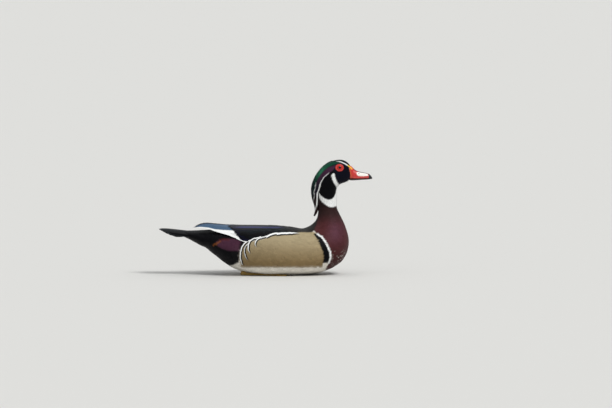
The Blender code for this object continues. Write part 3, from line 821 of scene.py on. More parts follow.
def closed_grid(rows, columns):
    """Faces of a tube's grid, with one more point to close each end."""
    around = np.arange(columns)
    after = (around + 1) % columns
    first, last_row = rows * columns, (rows - 1) * columns
    caps = np.concatenate([
        np.stack([after, around, np.full(columns, first)], 1),
        np.stack([last_row + around, last_row + after, np.full(columns, first + 1)], 1)])
    return grid_faces(rows, columns), caps


def tube(name, rings, material, colours_of, ends=None):
    """A closed smooth body through rings of points, with a map that unrolls it."""
    rings = np.asarray(rings)
    rows, columns = rings.shape[:2]
    quads, caps = closed_grid(rows, columns)
    if ends is None:
        ends = [rings[0].mean(0), rings[-1].mean(0)]
    points = np.concatenate([rings.reshape(-1, 3), np.array(ends)])
    uv = np.stack(np.meshgrid(np.arange(columns) / columns, (np.arange(rows) + 0.5) / rows),
                  -1).reshape(-1, 2)
    uv = np.concatenate([uv, [[0.5, 0.0], [0.5, 1.0]]])
    obj = mesh_piece(name, points, (quads, caps), material, colours_of(points),
                     {"OFBake": uv})
    turn_faces_out(obj)
    return obj


def skin(material):
    flat = body.points.reshape(-1, 3)
    depth = coat_depth(flat)[:, None] - 0.1
    inner = flat - body.normal.reshape(-1, 3) * depth
    inner[:, 2] = np.maximum(inner[:, 2], 0.3)
    obj = tube("skin", inner.reshape(body.points.shape), material, markings)
    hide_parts("head", "neck", "trunk")


def spacing_on_head(points):
    """Distance between feather roots: finest at the bill, wider down the neck."""
    return 0.98 - 0.22 * np.clip((-126 - points[:, 1]) / 16, 0, 1)


def spacing_on_body(points):
    neck = np.clip((points[:, 2] - 86) / 34, 0, 1)
    p = side_view(points)
    border = np.minimum(line_distance(p, SPUR), line_distance(p, BLACK_BAR))
    return 3.0 - 1.4 * np.maximum(neck, np.exp(-(border / 5) ** 2))


FLANK_SPACING = 3.5


def spacing_on_flank(points):
    return np.full(len(points), FLANK_SPACING)


def off_the_eye(points):
    """True where a feather may be rooted: its tip stops at the bare ring, and behind the
    eye its root is tucked under the ring."""
    y, z = points[:, 1] - EYE.y, points[:, 2] - EYE.z
    root = np.hypot(y / LID_STRETCH, z)
    tip = np.hypot((y + HEAD_FEATHER) / LID_STRETCH, z)
    clear = (root > LID_RADIUS - np.where(y > 0, 1.5, 0.3)) & (tip > LID_RADIUS - 0.7)
    return clear | (np.abs(points[:, 0]) < 6)


HEAD_FOOT = 117.0            # the fine feathers of the head end under the white collar
HEAD_FEATHER = 4.8           # how far one reaches back from its root
LID_RADIUS = 6.6             # outside of the bare ring round the eye
LID_STRETCH = 1.13           # the ring is longer than it is high
FLANK_ZONE = ((-84.0, 73.4), (-60.0, 73.6), (-54.0, 70.0), (-19.0, 68.0), (-9.0, 66.0),
              (-1.0, 62.0), (11.0, 59.0), (22.0, 56.0), (31.0, 54.0), (38.0, 49.0),
              (43.0, 40.0), (45.0, 30.0), (44.0, 10.0),
              (-100.0, 10.0), (-104.0, 30.0), (-102.0, 40.4), (-98.0, 49.9), (-94.0, 59.2),
              (-90.0, 67.0))
# Bare skin at the base of the bill, beside the forehead, in the side view
LOBE_REAR = ((-144.6, 192.6), (-146.2, 189.6), (-148.2, 185.2), (-149.9, 180.2),
             (-151.1, 175.0), (-151.5, 169.4))
LOBE_FRONT = ((-145.2, 193.4), (-148.4, 192.8), (-151.2, 190.4), (-152.9, 186.0),
              (-153.4, 178.0), (-153.4, 169.4))


def in_flank(points, margin=0.0):
    near = area_distance(side_view(points), FLANK_ZONE) < margin
    return near & (points[:, 2] > 12 - min(margin, 1.5))


def under_wing(points):
    y, x, z = points[:, 1], np.abs(points[:, 0]), points[:, 2]
    edge = np.interp(y, (-60, -40, -12, 18, 45, 60), (38, 46, 52, 54, 48, 40))
    return (y > -46) & (y < 64) & (x < edge) & (z > 60)


def breast_paint(points, across, along, n, m):
    """The breast's markings, with a pale spot at the tip of some feathers low in front."""
    colours = markings(points)
    picks = np.random.default_rng(31)
    low = np.clip((48 - points[:, 2]) / 16, 0, 1) * np.clip((-112 - points[:, 1]) / 12, 0, 1)
    low *= np.clip((points[:, 2] - 10) / 8, 0, 1)
    chosen = np.repeat(picks.random(n) < 0.4, m)
    spot = (along > 0.84) * np.clip(1 - np.abs(across) * 2.6, 0, 1) * chosen * low
    paint_over = spot * 0.7
    colours[:, :3] += (BELLY_WHITE - colours[:, :3]) * paint_over[:, None]
    colours[:, 3] *= 1 - paint_over
    return colours


def flank_paint(points, *_):
    """Buff vanes. Here alpha is the strength of the fine black waves across them."""
    colours = markings(points)
    p = side_view(points)
    colours[:, 3] = np.clip((p[:, 0] + 60) / 90, 0.12, 0.85)
    dark = np.clip(1 - colours[:, :3].sum(1) / 0.45, 0, 1)
    colours[:, 3] *= 1 - dark
    return colours


def contour_feathers(preened, velvet, waved):
    def on_head(points):
        p = side_view(points)
        lobe = area_distance(p, LOBE_REAR + LOBE_FRONT[::-1]) < -1.0
        beside = np.abs(points[:, 0]) > 3.4
        return (points[:, 2] > HEAD_FOOT) & off_the_eye(points) & ~(lobe & beside)

    def on_breast(points):
        return ((points[:, 2] <= HEAD_FOOT + 1) & (points[:, 1] < -60) & (points[:, 2] > 10)
                & ~in_flank(points) & ~under_wing(points))

    def on_flank(points):
        under_bar = in_flank(points, 8.0) & (points[:, 1] < -80) & (side_view(points)[:, 1] < 70)
        return in_flank(points, 1.0) | under_bar

    def on_rest(points):
        ahead = (points[:, 1] < -60) & (points[:, 2] > 10)
        return ~ahead & ~in_flank(points) & ~under_wing(points)

    for name, where, gap_of, grow, spread, shape, material, painter, slot, seed, raggedness in (
        ("plumage_head", on_head, spacing_on_head, 5.6, 2.1, HAIR_VANE, velvet, None,
         "green_gloss", 3, 0.1),
        ("plumage_breast", on_breast, spacing_on_body, 4.4, 2.3, BROAD_VANE, preened,
         breast_paint, "chestnut", 4, 0.25),
        ("plumage_flank", on_flank, spacing_on_flank, 5.4, 2.5, BROAD_VANE, waved, flank_paint,
         "buff", 5, 0.5),
        ("plumage_rump_and_belly", on_rest, spacing_on_body, 4.4, 2.3, BROAD_VANE, preened,
         None, "dark_gloss", 6, 0.4),
    ):
        u, v = scatter(coat, gap_of, lambda p: where(p) * 1.0, seed)
        points = coat.read(coat.points, u, v)
        gap = gap_of(points)
        turn = rng.normal(0, 0.09, len(u))
        length = gap * grow * rng.normal(1, 0.07, len(u))
        lift = 0.0
        if name == "plumage_flank":
            lift = 0.5 * np.clip((points[:, 2] - 60) / 12, 0, 1)
        lay(name, coat, u, v, length, gap * spread, coat_depth(points) + 0.1, turn, shape,
            material, seed, 0.65, raggedness, 3.0, painter, lift, camber=0.015)


# ---- the long flank feathers with black and white rims
def grid_target(surface):
    """A ray target made of a surface's own grid."""
    quads = grid_faces(surface.rows, surface.columns)
    return BVHTree.FromPolygons([Vector(p) for p in surface.points.reshape(-1, 3)],
                                [[int(i) for i in face] for face in quads])


def seen_from_side(target, y, height, side):
    """The point of a surface that the side view shows at (y, height), and its normal."""
    x = 60.0                 # a first guess, made better three times
    for _ in range(3):
        hit = target.ray_cast(Vector((side * 200, y, height + CAMERA_RISE * x)),
                              Vector((-side, 0, 0)))
        if hit[0] is None:
            return None
        x = abs(hit[0].x)
    normal = hit[1] if hit[1].x * side > 0 else -hit[1]
    return hit[0], normal


# Rims of the rear flank feathers in the side view, from the lower end up and forward:
# the white's width, the lift and the line itself
RIMS = (
    (1.9, 0.5, ((36.0, 10.0), (41.5, 19.0), (44.6, 30.0), (43.8, 40.5), (41.4, 48.7),
                (37.8, 53.9), (32.6, 58.7), (26.0, 61.6))),
    (1.0, 0.7, ((29.0, 22.0), (34.5, 31.0), (36.8, 40.0), (35.6, 48.0), (31.5, 53.5),
                (26.0, 57.5))),
    (1.9, 1.0, ((25.0, 34.0), (29.6, 42.0), (30.8, 49.0), (29.8, 54.1), (27.6, 58.5),
                (24.0, 61.9), (18.9, 64.2), (12.0, 65.6), (7.0, 67.0))),
    (1.6, 1.3, ((14.0, 46.0), (17.6, 51.0), (18.0, 56.1), (15.8, 60.5), (12.1, 63.6),
                (6.2, 65.6), (-0.4, 67.2), (-6.0, 69.4))),
    (2.5, 1.8, ((1.0, 60.0), (-0.4, 64.0), (-3.6, 67.2), (-8.0, 70.0), (-14.3, 71.9),
                (-21.6, 72.6), (-29.0, 73.0))),
    (2.6, 2.2, ((-11.0, 66.0), (-14.0, 68.3), (-18.2, 70.2), (-24.6, 71.8), (-31.9, 72.8),
                (-43.6, 72.9), (-54.2, 73.0), (-64.0, 72.4))),
)
RIM_STEPS = 72
RIM_REACH = 16.0             # how far a rimmed feather goes in from its edge
RIM_OFFSETS = np.array([0, 0.3, 0.6, 0.9, 1.2, 1.5, 1.8, 2.1, 2.4, 2.7, 3.0, 3.4, 3.9, 4.6, 5.6,
                        7.0, 9.0, 12.0, RIM_REACH])


def even_line(line, count):
    """Places at even steps along a smooth line, and the line's direction there."""
    fine = curve_through(line, np.linspace(0, len(line) - 1, 500))
    length = lengths_along(fine)
    wanted = np.linspace(0, length[-1], count)
    places = np.stack([np.interp(wanted, length, fine[:, k]) for k in (0, 1)], 1)
    return places, unit(np.gradient(places, axis=0)), length[-1]


def rimmed_feathers(waved):
    """The free edges of the rear flank feathers, moulded to the coat and sunk under the
    feathers in front. Each edge is black, white and black, then waved buff."""
    target = grid_target(coat)
    picks = np.random.default_rng(51)
    rows, columns = RIM_STEPS, len(RIM_OFFSETS)
    share = np.linspace(0, 1, rows)
    points, normals, white, black, place = [], [], [], [], []
    for side in (-1, 1):
        for order, (band, lift, line) in enumerate(RIMS):
            places, heading, length = even_line(line, rows)
            inward = np.stack([-heading[:, 1], heading[:, 0]], 1)
            notch = np.interp(share, np.linspace(0, 1, 30), picks.normal(0, 0.22, 30))
            upper_end = (1 - share) / 0.4 if order == len(RIMS) - 1 else 1 + 0 * share
            shown = np.clip(np.minimum(share / 0.3, upper_end), 0, 1)
            for i in range(rows):
                for off in RIM_OFFSETS:
                    y, height = places[i] + inward[i] * (off + notch[i] * np.exp(-off))
                    found = seen_from_side(target, y, height, side)
                    if found is None:
                        found = Vector(points[-1]), Vector(normals[-1])
                    fall = np.clip(off / RIM_REACH, 0, 1) ** 1.3
                    rise = (lift + 0.6) * shown[i] ** 0.5 * (1 - fall) - 0.6
                    rise -= 0.35 * np.exp(-off / 0.5)
                    points.append(found[0] + found[1] * rise)
                    normals.append(found[1])
            off = np.tile(RIM_OFFSETS, (rows, 1))
            wide = (band * (0.2 + 0.8 * shown) + 0.8 * notch)[:, None]
            faded = np.clip(shown * 1.5, 0, 1)[:, None]
            white.append((soft(off - wide - 0.35, 0.5) * soft(0.35 - off, 0.3) * faded).ravel())
            black.append((soft(off - wide - 2.5, 0.6) * faded).ravel())
            across = np.tile(off[0] / RIM_REACH, (rows, 1))
            cell = np.array([order % 4, order // 4 + 2 * (side > 0)])
            own = np.stack([across, np.tile(share[:, None], (1, columns))], -1)
            place.append(np.concatenate([(cell + 0.02 + 0.96 * own) / 4,
                                         0.5 + own * (RIM_REACH, length) / VANE_MAP],
                                        -1).reshape(-1, 4))
    points, normals, place = np.array(points), np.array(normals), np.concatenate(place)
    points[:, 2] = np.maximum(points[:, 2], FLOOR_GAP)
    quads = grid_faces(rows, columns, around=False)
    one, one_side = rows * columns, len(RIMS) * rows * columns
    faces = np.concatenate([repeated(quads, len(RIMS), one),
                            repeated(quads[:, ::-1], len(RIMS), one) + one_side])
    black, white = np.concatenate(black)[:, None], np.concatenate(white)[:, None]
    colours = flank_paint(points)
    colours[:, :3] += (BUFF_RIM - colours[:, :3]) * (colours[:, :3].sum(1, keepdims=True) < 0.35)
    colours[:, :3] += (BLACK - colours[:, :3]) * black
    colours[:, :3] += (WHITE - colours[:, :3]) * white
    colours[:, 3:] *= 1 - black
    obj = mesh_piece("flank_rimmed", points, (faces,), waved, colours,
                     {"OFBake": place[:, :2], "vane": place[:, 2:]})
    face_outwards(obj, normals, 0.5)


# ---- wings
# Folded wing as a dome over the back: y, top height, half width, base height, and the
# inner and outer x of the part that the wing covers
WING = (
    (-86.0, 79.4, 60.0, 52.0, 34.0, 36.0),
    (-72.0, 80.4, 64.0, 50.0, 30.0, 38.0),
    (-60.0, 81.6, 67.0, 46.0, 17.0, 48.0),
    (-40.0, 84.2, 69.0, 44.0, 8.0, 54.0),
    (-12.0, 86.6, 71.5, 43.0, 5.0, 60.0),
    (18.0, 86.6, 71.5, 42.0, 4.5, 62.5),
    (45.0, 86.6, 66.5, 42.0, 4.5, 58.0),
    (66.0, 87.8, 57.5, 44.0, 5.0, 46.0),
    (86.0, 90.2, 47.0, 50.0, 6.0, 33.0),
    (104.0, 92.2, 38.0, 60.0, 8.0, 23.0),
    (118.0, 90.2, 32.0, 66.0, 10.0, 18.5),
    (127.2, 85.4, 24.0, 70.0, 13.0, 15.6),
    (136.0, 79.0, 18.0, 70.0, 13.0, 14.0),
)
WING_SQUARENESS = 2.4
WING_STEP, TURN_STEP = 2.0, 2.5      # millimetres along the wing, degrees round it
WING_START, WING_END = -84.0, 134.0


def wing_row(y):
    """The wing's numbers at places along it."""
    table = np.array(WING)
    fine = curve_through(table, np.linspace(0, len(table) - 1, 600))
    return np.stack([np.interp(y, fine[:, 0], fine[:, k]) for k in range(1, 6)], -1)


def wing_surface(side):
    y = np.arange(WING_START, WING_END + 0.1, WING_STEP)
    top, half, base = wing_row(y)[:, 0:3].T
    angles = np.radians(np.arange(-10.0, 85.1, TURN_STEP))
    power = 2 / WING_SQUARENESS
    across = np.sign(np.sin(angles)) * np.abs(np.sin(angles)) ** power
    rise = np.cos(angles) ** power
    points = np.zeros((len(y), len(angles), 3))
    points[:, :, 0] = side * half[:, None] * across
    points[:, :, 1] = y[:, None]
    points[:, :, 2] = base[:, None] + (top - base)[:, None] * rise
    points = smoothed(points, 1, False)
    return Surface(points, False, np.stack([0 * y, y, base], 1))


def wing_place(y, angle):
    return (y - WING_START) / WING_STEP, (angle + 10.0) / TURN_STEP


WHITE_WING = ((129.0, 83.0), (121.3, 84.6), (114.8, 85.2), (100.0, 83.9), (88.4, 81.0),
              (73.7, 79.7), (53.9, 79.0), (40.0, 79.5), (24.0, 76.0), (20.0, 52.0), (60.0, 52.0),
              (80.0, 64.0), (104.2, 74.0), (130.0, 78.0))
TEAL_WING = ((30.0, 100.0), (30.0, 79.5), (53.9, 79.0), (73.7, 79.7), (88.4, 81.0),
             (100.0, 83.9), (114.8, 85.2), (121.3, 84.6), (129.0, 83.0), (134.0, 100.0))
TEAL, TEAL_PALE, VIOLET = linear("#4b6a8a"), linear("#93abbe"), linear("#191a38")
PAINTED_VIOLET_HIGHLIGHT = linear("#3a3f7a")
BRONZE_GREEN = linear("#111a1c")


def quill_paint(points, across, *_):
    """Black quills with a blue gloss, a teal top and a white outer edge to the wing."""
    p = side_view(points)
    tones = Tones(p, BLACK, 0.6)
    outer = across * np.sign(points[:, 0])
    teal = within(p, TEAL_WING, 1.2)
    stripe = np.clip(0.5 + 1.1 * np.abs(across), 0, 1)
    tones.paint(teal * stripe, TEAL, 0.75)
    tones.paint(0.6 * teal * np.clip(outer * 2.5 - 0.9, 0, 1), TEAL_PALE, 0.6)
    white = within(p, WHITE_WING, 0.8)
    tones.paint(white, WHITE, 0.0)
    # each white blade's inner edge is darkened: partly its own dark inner web, partly painted shade
    # in the gap between blades
    inner_web_and_shade = white * np.clip(1 - (outer + 0.5) * 6, 0, 1)
    tones.paint(0.55 * inner_web_and_shade, BLACK, 0.3)
    return tones.rows()


def tertial_paint(points, across, along, *_):
    """Black, with a violet gloss on the outer webs and one painted violet highlight along the
    wing's top.
    """
    p = side_view(points)
    tones = Tones(p, BLACK, 0.6)
    outer = across * np.sign(points[:, 0])
    web = np.clip(outer * 2, 0, 1) * np.clip(along * 1.6 - 0.4, 0, 1)
    tones.paint(0.45 * web, VIOLET, 0.85)
    # painted highlight: the violet line along the wing's top
    tones.paint(painted_violet_highlight(p), PAINTED_VIOLET_HIGHLIGHT, 0.9)
    return tones.rows()


def painted_violet_highlight(p):
    """A thin painted highlight of violet sheen along the top of the folded wing, over its violet
    gloss.
    """
    rise = np.interp(p[:, 0], (-34, -20, 40, 54), (0, 0.8, 0.8, 0.2))
    return rise * stroke(p, ((56.0, 82.6), (20.0, 83.4), (-34.0, 82.8)), 0.9, 0.9)


def scapular_paint(points, across, along, *_):
    tones = Tones(points, BLACK, 0.6)
    sheen = np.clip((along - 0.35) * 2, 0, 1) * (1 - np.abs(across) * 0.5)
    front = np.clip((-30 - points[:, 1]) / 30, 0, 1)
    tones.paint(sheen * (1 - front), BRONZE_GREEN, 0.8)
    tones.paint(0.9 * front, BRONZE_BLACK, 0.35)
    # painted highlight: the violet line along the wing's top
    tones.paint(painted_violet_highlight(side_view(points)), PAINTED_VIOLET_HIGHLIGHT, 0.9)
    return tones.rows()


# Long quills of one wing, outermost first: root y and angle, tip y and angle, width, lift
PRIMARIES = (
    (2.0, 72.0, 52.0, 57.0, 9.0, -2.6),
    (6.0, 66.0, 66.0, 49.0, 9.0, -2.5),
    (10.0, 60.0, 84.0, 42.5, 9.0, -2.4),
    (18.0, 52.0, 104.0, 41.0, 8.0, -2.25),
    (22.0, 47.0, 119.0, 38.0, 8.0, -2.1),
    (24.0, 43.0, 128.5, 34.5, 9.0, -1.95),
    (20.0, 44.0, 125.0, 29.0, 12.0, -1.75),
    (18.0, 42.0, 121.0, 24.0, 13.0, -1.6),
    (16.0, 40.0, 116.0, 19.5, 14.0, -1.45),
    (14.0, 36.0, 110.5, 16.0, 15.0, -1.3),
    (12.0, 32.0, 104.5, 13.5, 15.0, -1.15),
    (10.0, 27.0, 98.0, 12.0, 15.0, -1.0),
    (8.0, 22.0, 91.0, 10.0, 15.0, -0.8),
    (6.0, 17.0, 84.0, 8.0, 16.0, -0.6),
    (4.0, 12.0, 76.0, 6.5, 16.0, -0.4),
    (2.0, 5.0, 68.0, 5.0, 16.0, -0.2),
)
TERTIALS = (
    (-30.0, 66.0, 37.5, 64.0, 13.0, -3.9),
    (-24.0, 57.0, 45.5, 56.5, 16.0, -2.0),
    (-20.0, 48.0, 50.5, 47.0, 17.0, -0.8),
    (-22.0, 40.0, 54.0, 39.0, 18.0, -0.5),
    (-14.0, 32.0, 57.5, 30.5, 16.0, -0.2),
    (-20.0, 24.5, 61.5, 23.0, 19.0, 0.0),
    (-16.0, 15.5, 66.0, 15.5, 17.0, 0.25),
    (-20.0, 6.5, 63.0, 7.5, 18.0, 0.4),
)


def wings(quill, preened):
    surfaces = {side: wing_surface(side) for side in (-1, 1)}
    quill_shape = vane_shape(11, LONG_TIP, 30)
    tertial_shape = vane_shape(11, ROUND_TIP, 24)
    scapular_shape = vane_shape(7, ROUND_TIP, 12)
    for side, word in SIDES:
        surface = surfaces[side]
        for name, table, shape, painter in (
                ("primary_vanes", PRIMARIES, quill_shape, quill_paint),
                ("tertials", TERTIALS, tertial_shape, tertial_paint)):
            rows = [(*wing_place(y0, a0), *wing_place(y1, a1), width, lift, 0.03)
                    for y0, a0, y1, a1, width, lift in table]
            obj = blades(f"{name}_{word}", surface, rows, shape, quill, painter)
            if table is PRIMARIES:
                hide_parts(f"primaries_{word}")
        picks = np.random.default_rng(40 + side)
        rows = []
        for column, angle in enumerate(np.arange(4.0, 56.0, 8.0)):
            start = np.interp(angle, (0, 30, 66), (-64, -72, -60))
            end = np.interp(angle, (0, 30, 66), (2, 6, -10))
            for y in np.arange(start + 4.5 * (column % 2), end, 9.0):
                length = np.interp(y, (-74, -30, 6), (20, 32, 46))
                lift = 0.1 - 0.008 * (y + 74) + picks.uniform(-0.1, 0.1)
                lift -= 0.4 * max(0.0, (angle - 40) / 12)
                rows.append((*wing_place(y, angle + picks.uniform(-1.5, 1.5)),
                             *wing_place(y + length, angle + picks.uniform(-1, 1)),
                             np.interp(y, (-74, -30, 6), (12, 15, 17)), lift, 0.0))
        obj = blades(f"scapulars_{word}", surface, rows, scapular_shape, preened,
                     scapular_paint, camber=0.06, sink=2.4)
        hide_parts(f"wing_{word}")
        wing_core(word, side, preened)


def wing_core(word, side, material):
    """The folded quills' own thickness, under the ones that show."""
    rings = []
    for y in np.linspace(-56.0, 117.0, 60):
        top, half, base, inner, outer = wing_row(y)
        share = np.linspace(0, 1, 17)
        x = inner + 3.5 + (outer - inner - 7.0) * np.sin(math.pi / 2 * share)
        z = base + (top - base) * (1 - (x / half) ** WING_SQUARENESS) ** (1 / WING_SQUARENESS)
        inward = unit(np.stack([-x, 0 * x, base - z - half / 3], 1))
        outside = np.stack([x, 0 * x + y, z], 1) + inward * 2.6
        depth = min(6.0, 0.4 * (outer - inner))
        inside = outside + inward * (depth * np.sin(math.pi * (0.08 + 0.84 * share)))[:, None]
        ring = np.concatenate([outside, inside[::-1]])
        rings.append(ring * np.array([side, 1, 1]))

    def dark(points):
        tones = Tones(points, BLACK, 0.3)
        white = within(side_view(points), WHITE_WING, 1.0)
        # painted shade: the white of the quills' thickness under the blades is dimmed to 0.8 of it
        tones.paint(white, WHITE * 0.8, 0.3)
        return tones.rows()

    tube(f"wing_core_{word}", rings, material, dark)


# ---- tail
TAIL_START, TAIL_STEP = 92.0, 2.0


def tail_height(x, y):
    middle = np.interp(y, (98, 118, 138, 156, 170, 179, 184.5, 187.6),
                       (74.5, 75.6, 77.4, 79.2, 80.6, 81.0, 80.6, 79.8))
    droop = np.interp(y, (98, 118, 138, 156, 170, 179), (5.0, 7.0, 9.0, 10.0, 10.0, 10.0))
    half = np.interp(y, (98, 118, 138, 156, 190), (22.0, 26.5, 30.0, 31.5, 31.5))
    return middle - droop * (x / half) ** 2


def tail_surface():
    y = np.arange(TAIL_START, 192.1, TAIL_STEP)
    x = np.arange(-44.0, 44.1, TAIL_STEP)
    yy, xx = np.meshgrid(y, x, indexing="ij")
    points = smoothed(np.stack([xx, yy, tail_height(xx, yy)], -1), 1, False)
    return Surface(points, False, np.stack([0 * y, y, 0 * y], 1))


# Root x, tip x, tip y and width of one side's tail quills, from the middle outwards
RECTRICES = (
    (1.5, 4.0, 187.4, 17.0), (3.0, 8.5, 186.4, 17.0), (4.5, 13.0, 184.0, 17.0),
    (6.0, 17.5, 180.6, 16.5), (7.5, 21.5, 176.4, 16.0), (9.0, 24.8, 170.6, 15.5),
    (10.5, 27.4, 163.0, 15.0),
)


def tail_paint(points, across, along, *_):
    tones = Tones(points, BLACK, 0.55)
    sheen = np.exp(-((np.abs(across) - 0.5) / 0.3) ** 2) * np.clip(along * 1.5, 0, 1)
    tones.paint(0.6 * sheen, BRONZE_GREEN, 0.75)
    return tones.rows()


def tail(quill, preened):
    surface = tail_surface()
    rows = []
    for k, (x0, x1, y1, width) in enumerate(RECTRICES):
        for side in (-1, 1):
            lift = 0.2 - 0.32 * k - (0.12 if side > 0 else 0)
            rows.append(((102.0 - TAIL_START) / TAIL_STEP, (side * x0 + 44.0) / TAIL_STEP,
                         (y1 - TAIL_START) / TAIL_STEP, (side * x1 + 44.0) / TAIL_STEP,
                         width, lift, 0.02))
    obj = blades("tail_quills", surface, rows, vane_shape(11, BLUNT_TIP, 26), quill,
                 tail_paint, camber=0.02)
    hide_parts("tail")
    rings = []
    for y in np.linspace(104.0, 180.0, 40):
        half = np.interp(y, (104, 140, 165, 180), (17.0, 24.0, 23.0, 9.0))
        x = np.linspace(-half, half, 21)
        z = tail_height(x, y) - 0.9
        thin = 1.7 * (1 - 0.8 * (x / half) ** 2)
        rings.append(np.concatenate([np.stack([x, 0 * x + y, z], 1),
                                     np.stack([x, 0 * x + y, z - thin], 1)[::-1]]))
    tube("tail_core", rings, preened, plain(BLACK, 0.3))


# ---- crest
# Upper y, z and lower y, z in the side view, and half width
CREST = (
    (-125.0, 200.4, -126.0, 191.0, 3.0),
    (-117.0, 200.2, -119.0, 190.0, 5.4),
    (-107.6, 195.6, -111.0, 180.0, 10.0),
    (-97.6, 187.0, -107.0, 170.0, 14.0),
    (-87.2, 172.6, -102.0, 158.0, 15.8),
    (-81.0, 155.0, -97.0, 144.0, 14.0),
    (-81.8, 136.0, -95.0, 130.0, 11.0),
    (-86.2, 121.0, -94.0, 117.5, 7.6),
    (-87.0, 111.0, -91.6, 109.5, 4.2),
    (-84.8, 102.6, -87.4, 102.2, 1.5),
)
CREST_ROWS, CREST_AROUND = 84, 56


def crest_surface(inset):
    """The crest's outside, or a core that lies under it by the inset."""
    rows = spaced_rows(CREST, count=CREST_ROWS, fineness=600)
    angles = round_angles(CREST_AROUND)
    points, centres = [], []
    for y0, z0, y1, z1, half in rows:
        middle = np.array([(y0 + y1) / 2, (z0 + z1) / 2])
        reach = np.hypot(y0 - y1, z0 - z1) / 2
        less = max(reach - inset, 0.25 * reach) / reach
        upper = middle + (np.array([y0, z0]) - middle) * less
        lower = middle + (np.array([y1, z1]) - middle) * less
        points.append(section(upper, lower, max(half - inset, 0.3 * half), 0.5, 2.0, angles))
        centres.append([0, *middle])
    return Surface(np.array(points), True, np.array(centres))


def crest(velvet, down):
    """A core, with hair-like feathers over it and long loose locks at its tip."""
    core = crest_surface(1.6)
    obj = tube("crest_core", core.points, down, markings)
    surface = crest_surface(0.0)
    u, v = scatter(surface, lambda p: np.full(len(p), 1.3), lambda p: np.ones(len(p)), 12)
    fine = np.clip((surface.rows - u) / 20, 0.35, 1)
    obj = lay("plumage_crest", surface, u, v, 12.5 * fine * rng.normal(1, 0.12, len(u)),
              2.0 * fine, 1.3 * fine, rng.normal(0, 0.05, len(u)), HAIR_VANE, velvet,
              13, softness=0.6, ragged=0.12, flat=2.6)
    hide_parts("crest")
    rows = []
    picks = np.random.default_rng(14)
    for _ in range(60):
        start = picks.uniform(30, 62)
        column = picks.uniform(0, CREST_AROUND)
        end = min(start + picks.uniform(20, 34), 82.5)
        rows.append((start, column, end, column + picks.normal(0, 1.5),
                     picks.uniform(1.6, 2.6), picks.uniform(0.0, 0.45), picks.normal(0, 0.4)))
    blades("crest_locks", surface, rows, vane_shape(3, LONG_TIP, 14), velvet,
           lambda p, *_: markings(p), softness=0.4, sink=0.8)


# ---- eyes
IRIS_RADIUS = 4.95
EYE_AXIS = Vector((0.98, -0.17, 0.24)).normalized()


def eye_material():
    """Iris and pupil behind a wet cornea: the clear coat gives its small hard highlight."""
    made, tree, shader = new_material("cornea_wet_over_iris")
    place = add_node(tree, "ShaderNodeVertexColor", layer_name="eye_place")
    split = add_node(tree, "ShaderNodeSeparateColor", {0: place.outputs[0]})
    fibres = add_node(tree, "ShaderNodeTexNoise",
                      {"Vector": place.outputs[0], "Scale": 26.0, "Detail": 3.0})
    iris = add_node(tree, "ShaderNodeValToRGB", {0: split.outputs[0]})
    ramp = iris.color_ramp
    stops = ((0.0, "#020202"), (0.33, "#020202"), (0.37, "#7c100c"), (0.46, "#c01c12"),
             (0.66, "#d62a1c"), (0.76, "#c02016"), (0.82, "#7a120c"), (1.0, "#3a0906"))
    for element, (position, code) in zip(ramp.elements, stops):
        element.position, element.color = position, rgba(code)
    for position, code in stops[2:]:
        ramp.elements.new(position).color = rgba(code)
    tint = add_node(tree, "ShaderNodeMapRange",
                    {0: fibres.outputs["Fac"], 1: 0.35, 2: 0.65, 3: 0.72, 4: 1.2})
    coloured = add_node(tree, "ShaderNodeVectorMath",
                        {0: iris.outputs[0], "Scale": tint.outputs[0]}, operation="SCALE")
    set_inputs(shader, {"Base Color": coloured.outputs[0], "Roughness": 0.25,
                        "Specular IOR Level": 0.2, "Coat Weight": 0.6, "Coat Roughness": 0.03,
                        "Coat IOR": 1.34})
    return made


def side_axes(side):
    """The eye's axis and two directions across it."""
    axis = np.array([side * EYE_AXIS.x, EYE_AXIS.y, EYE_AXIS.z])
    up = unit(np.array([0, 0, 1.0]) - axis * axis[2])
    return axis, up, np.cross(axis, up)


def eyeball(side, word, material):
    """A sphere whose rings run round the eye's axis, so that iris and pupil are true rings."""
    axis, up, across = side_axes(side)
    centre = np.array([side * EYE.x, EYE.y, EYE.z])
    depth = np.radians(np.concatenate([np.linspace(2, 64, 44), np.linspace(70, 176, 14)]))
    angles = round_angles(64)
    rings = [centre + EYE_RADIUS * (axis * math.cos(d) + (up * np.cos(angles)[:, None]
             + across * np.sin(angles)[:, None]) * math.sin(d)) for d in depth]
    ends = [centre + EYE_RADIUS * axis, centre - EYE_RADIUS * axis]

    def place(points):
        from_centre = points - centre
        out = from_centre @ axis
        r = np.linalg.norm(from_centre - out[:, None] * axis, axis=1)
        r = np.where(out > 0, r, EYE_RADIUS * 1.1)
        turn = np.arctan2(from_centre @ across, from_centre @ up)
        scale = np.minimum(r / (IRIS_RADIUS * 1.32), 1)
        return np.stack([scale, 0.5 + 0.5 * np.cos(turn), 0.5 + 0.5 * np.sin(turn),
                         np.ones(len(points))], 1)

    obj = tube(f"eyeball_{word}", rings, material, place, ends)
    obj.data.color_attributes["plumage"].name = "eye_place"
    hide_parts(f"eye_{word}")


